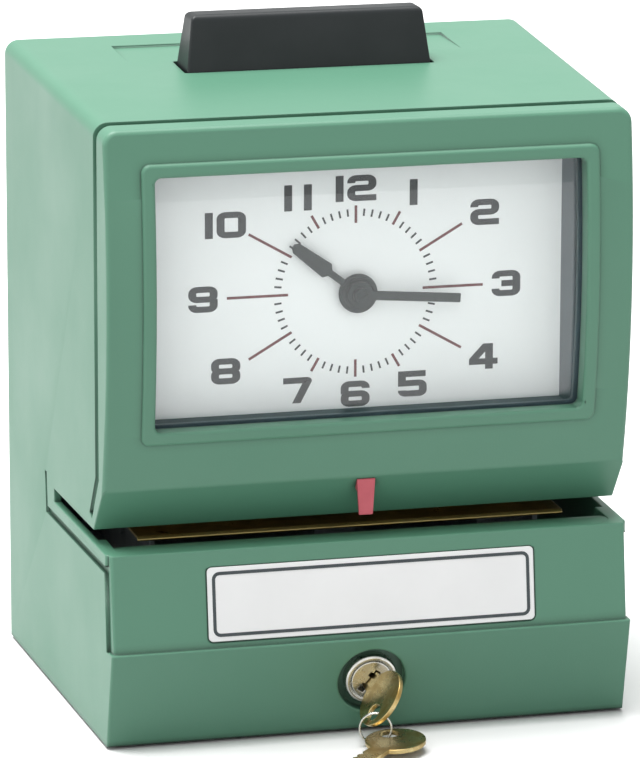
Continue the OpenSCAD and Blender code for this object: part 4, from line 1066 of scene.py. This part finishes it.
class RECORDER_OT_chassis(RecorderOperator, Operator):
    """Back plate, base plate, frames, screws, feet, inlet and terminals"""
    bl_idname = "recorder.chassis"
    bl_label = "Chassis"

    SCREW_TURN, CLAMP_TURN = 0.7, 0.9    # from one screw's slot to the next one's, in radians
    CLAMP_RADIUS, CLAMP_HEIGHT = 2.7 * MM, 2.4 * MM
    CLAMP_FIRST, CLAMP_STEP, CLAMP_RISE = 6 * MM, 10 * MM, 6 * MM   # places on the terminal block

    def execute(self, context):
        for side in ("back", "base"):
            softened(side + "_plate", side + "_sheet", "zinc_plate", 0.25 * MM)
        finish_nodes("zinc_plate", "left_frame", "right_frame", "frame_posts", "movement_plate")
        self.screws()
        self.feet()
        softened("cord_grommet", "inlet_grommet", "rubber", 0.3 * MM, 3)
        softened("terminal_block", "terminal_moulding", "black_moulding", 0.5 * MM)
        self.clamps()
        return {"FINISHED"}

    def screws(self):
        """Slotted heads in place of the plain ones, each facing out of the chassis."""
        heads = bmesh.new()
        for i, (low, high) in enumerate(solids("frame_screws")):
            extent = high - low
            axis = min(range(3), key=lambda k: extent[k])
            centre, toward = (low + high) / 2, Vector((0, 0, 0))
            outward = -1 if axis == 1 or centre.x < 0 else 1
            toward[axis] = outward
            centre[axis] = low[axis] if outward > 0 else high[axis]
            slotted_head(heads, centre, toward, max(extent) / 2, extent[axis], self.SCREW_TURN * i)
        built("screw_heads", heads, "chassis", "zinc_plate", "frame_screws")

    @staticmethod
    def feet():
        """Rubber feet with a tapered rim and a hollow sole."""
        feet = bmesh.new()
        for low, high in solids("rubber_feet"):
            radius, tall = (high.x - low.x) / 2, high.z - low.z
            taper, dish = tall * 0.4, tall * 0.35
            profile = [(0, tall), (radius, tall), (radius, taper), (radius - taper, 0),
                       (radius * 0.55, 0), (radius * 0.45, dish), (0, dish)]
            sole = Matrix.Translation(((low.x + high.x) / 2, (low.y + high.y) / 2, low.z))
            spun(feet, profile, sole, steps=48, closed=False)
        built("feet", feet, "chassis", "rubber", "rubber_feet")

    def clamps(self):
        """Three clamp screws in the terminal block."""
        low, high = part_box("terminal_block")
        clamps = bmesh.new()
        for i in range(3):
            centre = Vector((low.x + self.CLAMP_FIRST + self.CLAMP_STEP * i, (low.y + high.y) / 2,
                             low.z + self.CLAMP_RISE))
            slotted_head(clamps, centre, (0, 0, 1), self.CLAMP_RADIUS, self.CLAMP_HEIGHT,
                         self.CLAMP_TURN * i)
        built("terminal_screws", clamps, "chassis", "bright_brass")


class RECORDER_OT_movement(RecorderOperator, Operator):
    """Motor, arbors, gears and shafts"""
    bl_idname = "recorder.movement"
    bl_label = "Movement"

    def execute(self, context):
        finish_nodes("motor_lacquer", "drive_motor")
        finish_nodes("bright_brass", "motor_pinion", "minute_arbor", "minute_wheel", "hour_wheel",
                     "transfer_gear")
        finish_nodes("zinc_plate", "drive_shaft", "drive_bracket")
        return {"FINISHED"}


class RECORDER_OT_printer(RecorderOperator, Operator):
    """Type wheels, spools, inked ribbon, lever, rod, hammer and spring"""
    bl_idname = "recorder.printer"
    bl_label = "Printer"

    ROLL_CORE, ROLL_RIDGE, ROLL_DIP = 6.1 * MM, 0.45 * MM, 0.16 * MM
    RIBBON_BEND, RIBBON_THICK = 1.5 * MM, 0.12 * MM
    WIRE, TURNS, STEPS = 0.65 * MM, 7, 24    # spring: radius of its wire, turns, steps in a turn
    LEVER_ARM, LEVER_SWING = 22 * MM, math.radians(14.3)   # spring's place on the lever, its swing

    def execute(self, context):
        finish_nodes("type_steel", "minute_type_wheel", "hour_type_wheel", "day_type_wheel")
        finish_nodes("zinc_plate", "type_bracket", "type_shaft", "spool_studs", "left_spool",
                     "right_spool", "lever_shaft", "push_lever", "push_rod", "hammer_shaft",
                     "hammer")
        softened("hammer_pad", "hammer_face", "rubber", 0.4 * MM, 3)
        for side in ("left", "right"):
            self.roll(side + "_ribbon_roll", side + "_spool")
        self.ribbon()
        self.spring()
        return {"FINISHED"}

    def roll(self, node, body):
        """Wound ribbon whose turns show as fine ridges on both sides."""
        low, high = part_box(node)
        outer, half, inner = (high.x - low.x) / 2, (high.y - low.y) / 2, self.ROLL_CORE
        count = int((outer - inner) / self.ROLL_RIDGE)
        ridge = [(inner + (outer - inner) * i / count, half - (self.ROLL_DIP if i % 2 else 0))
                 for i in range(count + 1)]
        profile = ridge + [(r, -h) for r, h in reversed(ridge)]
        bm = bmesh.new()
        spun(bm, profile, Matrix.Translation((low + high) / 2) @ facing(FRONT))
        built(node.replace("_roll", "_winding"), bm, body, "ribbon_cloth", node)

    def ribbon(self):
        """Flat inked ribbon from roll to roll under the type."""
        low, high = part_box("ribbon")
        columns = {}
        for vert in NODES["ribbon"].data.vertices:
            columns.setdefault(round(vert.co.x, 5), []).append(vert.co.z)
        path = [(x, (min(zs) + max(zs)) / 2) for x, zs in sorted(columns.items())]
        mesh = printed([(path, False, self.RIBBON_BEND)], self.RIBBON_THICK, high.y - low.y)
        mesh.transform(Matrix.Translation((0, high.y, 0)))
        piece = new_piece("ink_ribbon", mesh, "chassis", "ribbon_cloth", "ribbon")

    def spring(self):
        """Round-wire return spring, coiled within the CAD spring's box."""
        low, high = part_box("return_spring")
        wire, steps = self.WIRE, self.TURNS * self.STEPS
        coil = (high.x - low.x) / 2 - wire
        rise = high.z - low.z - 2 * wire
        bm = bmesh.new()
        ring = bmesh.ops.create_circle(bm, cap_ends=False, segments=12, radius=wire)["verts"]
        upright = Matrix.Translation((coil, 0, 0)) @ Matrix.Rotation(math.pi / 2, 4, "X")
        bmesh.ops.transform(bm, matrix=upright, verts=ring)
        bmesh.ops.spin(bm, geom=bm.verts[:] + bm.edges[:], cent=(0, 0, 0), axis=(0, 0, 1),
                       dvec=(0, 0, rise / steps), angle=self.TURNS * 2 * math.pi, steps=steps)
        bmesh.ops.holes_fill(bm, edges=[e for e in bm.edges if e.is_boundary], sides=0)
        bmesh.ops.recalc_face_normals(bm, faces=bm.faces)
        foot = Vector(((low.x + high.x) / 2, (low.y + high.y) / 2, low.z + wire))
        bmesh.ops.translate(bm, vec=foot, verts=bm.verts)
        piece = built("bar_return_spring", bm, "chassis", "zinc_plate", "return_spring")
        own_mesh(piece)


class RECORDER_OT_stage(RecorderOperator, Operator):
    """Pale floor, soft light and the camera"""
    bl_idname = "recorder.stage"
    bl_label = "Stage"

    LAMPS = {                        # where each soft light comes from, and its spread in degrees
        "overhead": ((-0.15, 0.1, 1.0), 40),
        "key": ((-0.35, -1.0, 0.4), 70),
        "side": ((-1.0, 0.15, 0.35), 40),
    }
    FLOOR_SEEN, FLOOR_LIT = (0.86, 0.84), (0.46, 0.44)   # greys as seen, and as a reflector
    FLOOR_HALF = 15.0
    TARGET = (22.8 * MM, BACK_Y, 99.3 * MM)

    def execute(self, context):
        stage = context.scene.recorder_stage
        context.scene.view_settings.view_transform = "Standard"
        self.floor()
        self.world(context.scene, stage)
        for name, (source, spread) in self.LAMPS.items():
            self.lamp(name + "_light", source, getattr(stage, name), spread)
        self.camera(context.scene, stage)
        return {"FINISHED"}

    def floor(self):
        bm = bmesh.new()
        bmesh.ops.create_grid(bm, x_segments=4, y_segments=4, size=self.FLOOR_HALF)
        floor = bpy.data.objects.new("floor", to_mesh("floor", bm))
        bpy.context.scene.collection.objects.link(floor)
        material, tree, shader = blank_material("pale_floor")
        slow = add(tree, "TexNoise", Vector=own_place(tree), Scale=3.0, Detail=2.0)
        lit, seen = (mix_colours(tree, slow.outputs["Fac"], *((grey,) * 3 for grey in greys))
                     for greys in (self.FLOOR_LIT, self.FLOOR_SEEN))
        fill(tree, shader, Base_Color=mix_colours(tree, seen_rays(tree), lit, seen), Roughness=0.9,
             Specular_IOR_Level=0.0)
        floor.data.materials.append(material)

    @staticmethod
    def world(scene, stage):
        """White to the camera and in reflections, dimmer as a light."""
        world = bpy.data.worlds.new("studio")
        world.use_nodes = True
        tree = world.node_tree
        tree.nodes.clear()
        lit = add(tree, "Background", Color=(1, 1, 1, 1), Strength=stage.ambient)
        seen = add(tree, "Background", Color=(1, 1, 1, 1), Strength=1.0)
        either = mix_shaders(tree, seen_rays(tree), lit.outputs[0], seen.outputs[0])
        add(tree, "OutputWorld", Surface=either)
        scene.world = world

    @staticmethod
    def lamp(name, source, strength, spread):
        """Wide soft light from the direction given."""
        data = bpy.data.lights.new(name, "SUN")
        data.energy = strength
        data.angle = math.radians(spread)
        lamp = bpy.data.objects.new(name, data)
        lamp.matrix_world = facing(source)
        bpy.context.scene.collection.objects.link(lamp)

    def camera(self, scene, stage):
        data = bpy.data.cameras.new("view")
        data.lens = stage.lens
        data.sensor_width = 36.0
        data.clip_end = 100.0
        camera = bpy.data.objects.new("view", data)
        level = math.cos(stage.elevation)
        back = Vector((math.sin(stage.yaw) * level, -math.cos(stage.yaw) * level,
                       math.sin(stage.elevation)))
        right = Vector((0, 0, 1)).cross(back).normalized()
        turn = Matrix((right, back.cross(right), back)).transposed().to_4x4()
        place = Matrix.Translation(Vector(self.TARGET) + back * stage.distance)
        camera.matrix_world = place @ turn @ Matrix.Rotation(stage.roll, 4, "Z")
        scene.collection.objects.link(camera)
        scene.camera = camera


class RECORDER_PT_sidebar(Panel):
    """Sidebar panel that lists the recorder's operators and settings"""
    bl_idname = "RECORDER_PT_sidebar"
    bl_label = "Time recorder"
    bl_space_type = "VIEW_3D"
    bl_region_type = "UI"
    bl_category = "Recorder"

    def draw(self, context):
        layout = self.layout
        for operator in OPERATORS:
            layout.operator(operator.bl_idname)
        for name in GROUPS:
            group, box = getattr(context.scene, name), layout.box()
            for key in group.bl_rna.properties.keys():
                if key not in {"rna_type", "name"}:
                    box.prop(group, key)


OPERATORS = (RECORDER_OT_stage, RECORDER_OT_cover, RECORDER_OT_push_bar, RECORDER_OT_window,
             RECORDER_OT_dial, RECORDER_OT_hands, RECORDER_OT_nameplate, RECORDER_OT_lock,
             RECORDER_OT_keys, RECORDER_OT_guides, RECORDER_OT_chassis, RECORDER_OT_movement,
             RECORDER_OT_printer)
GROUPS = {"recorder_colours": RecorderColours, "recorder_sizes": RecorderSizes,
          "recorder_stage": RecorderStage}


def register():
    for group in GROUPS.values():
        bpy.utils.register_class(group)
    for name, group in GROUPS.items():
        setattr(bpy.types.Scene, name, PointerProperty(type=group))
    for operator in OPERATORS:
        bpy.utils.register_class(operator)
    bpy.utils.register_class(RECORDER_PT_sidebar)


def unregister():
    bpy.utils.unregister_class(RECORDER_PT_sidebar)
    for operator in reversed(OPERATORS):
        bpy.utils.unregister_class(operator)
    for name in GROUPS:
        delattr(bpy.types.Scene, name)
    for group in reversed(GROUPS.values()):
        bpy.utils.unregister_class(group)


def main():
    """Builds everything in order."""
    register()
    for operator in OPERATORS:
        module, name = operator.bl_idname.split(".")
        getattr(getattr(bpy.ops, module), name)()


if __name__ == "__main__":
    main()
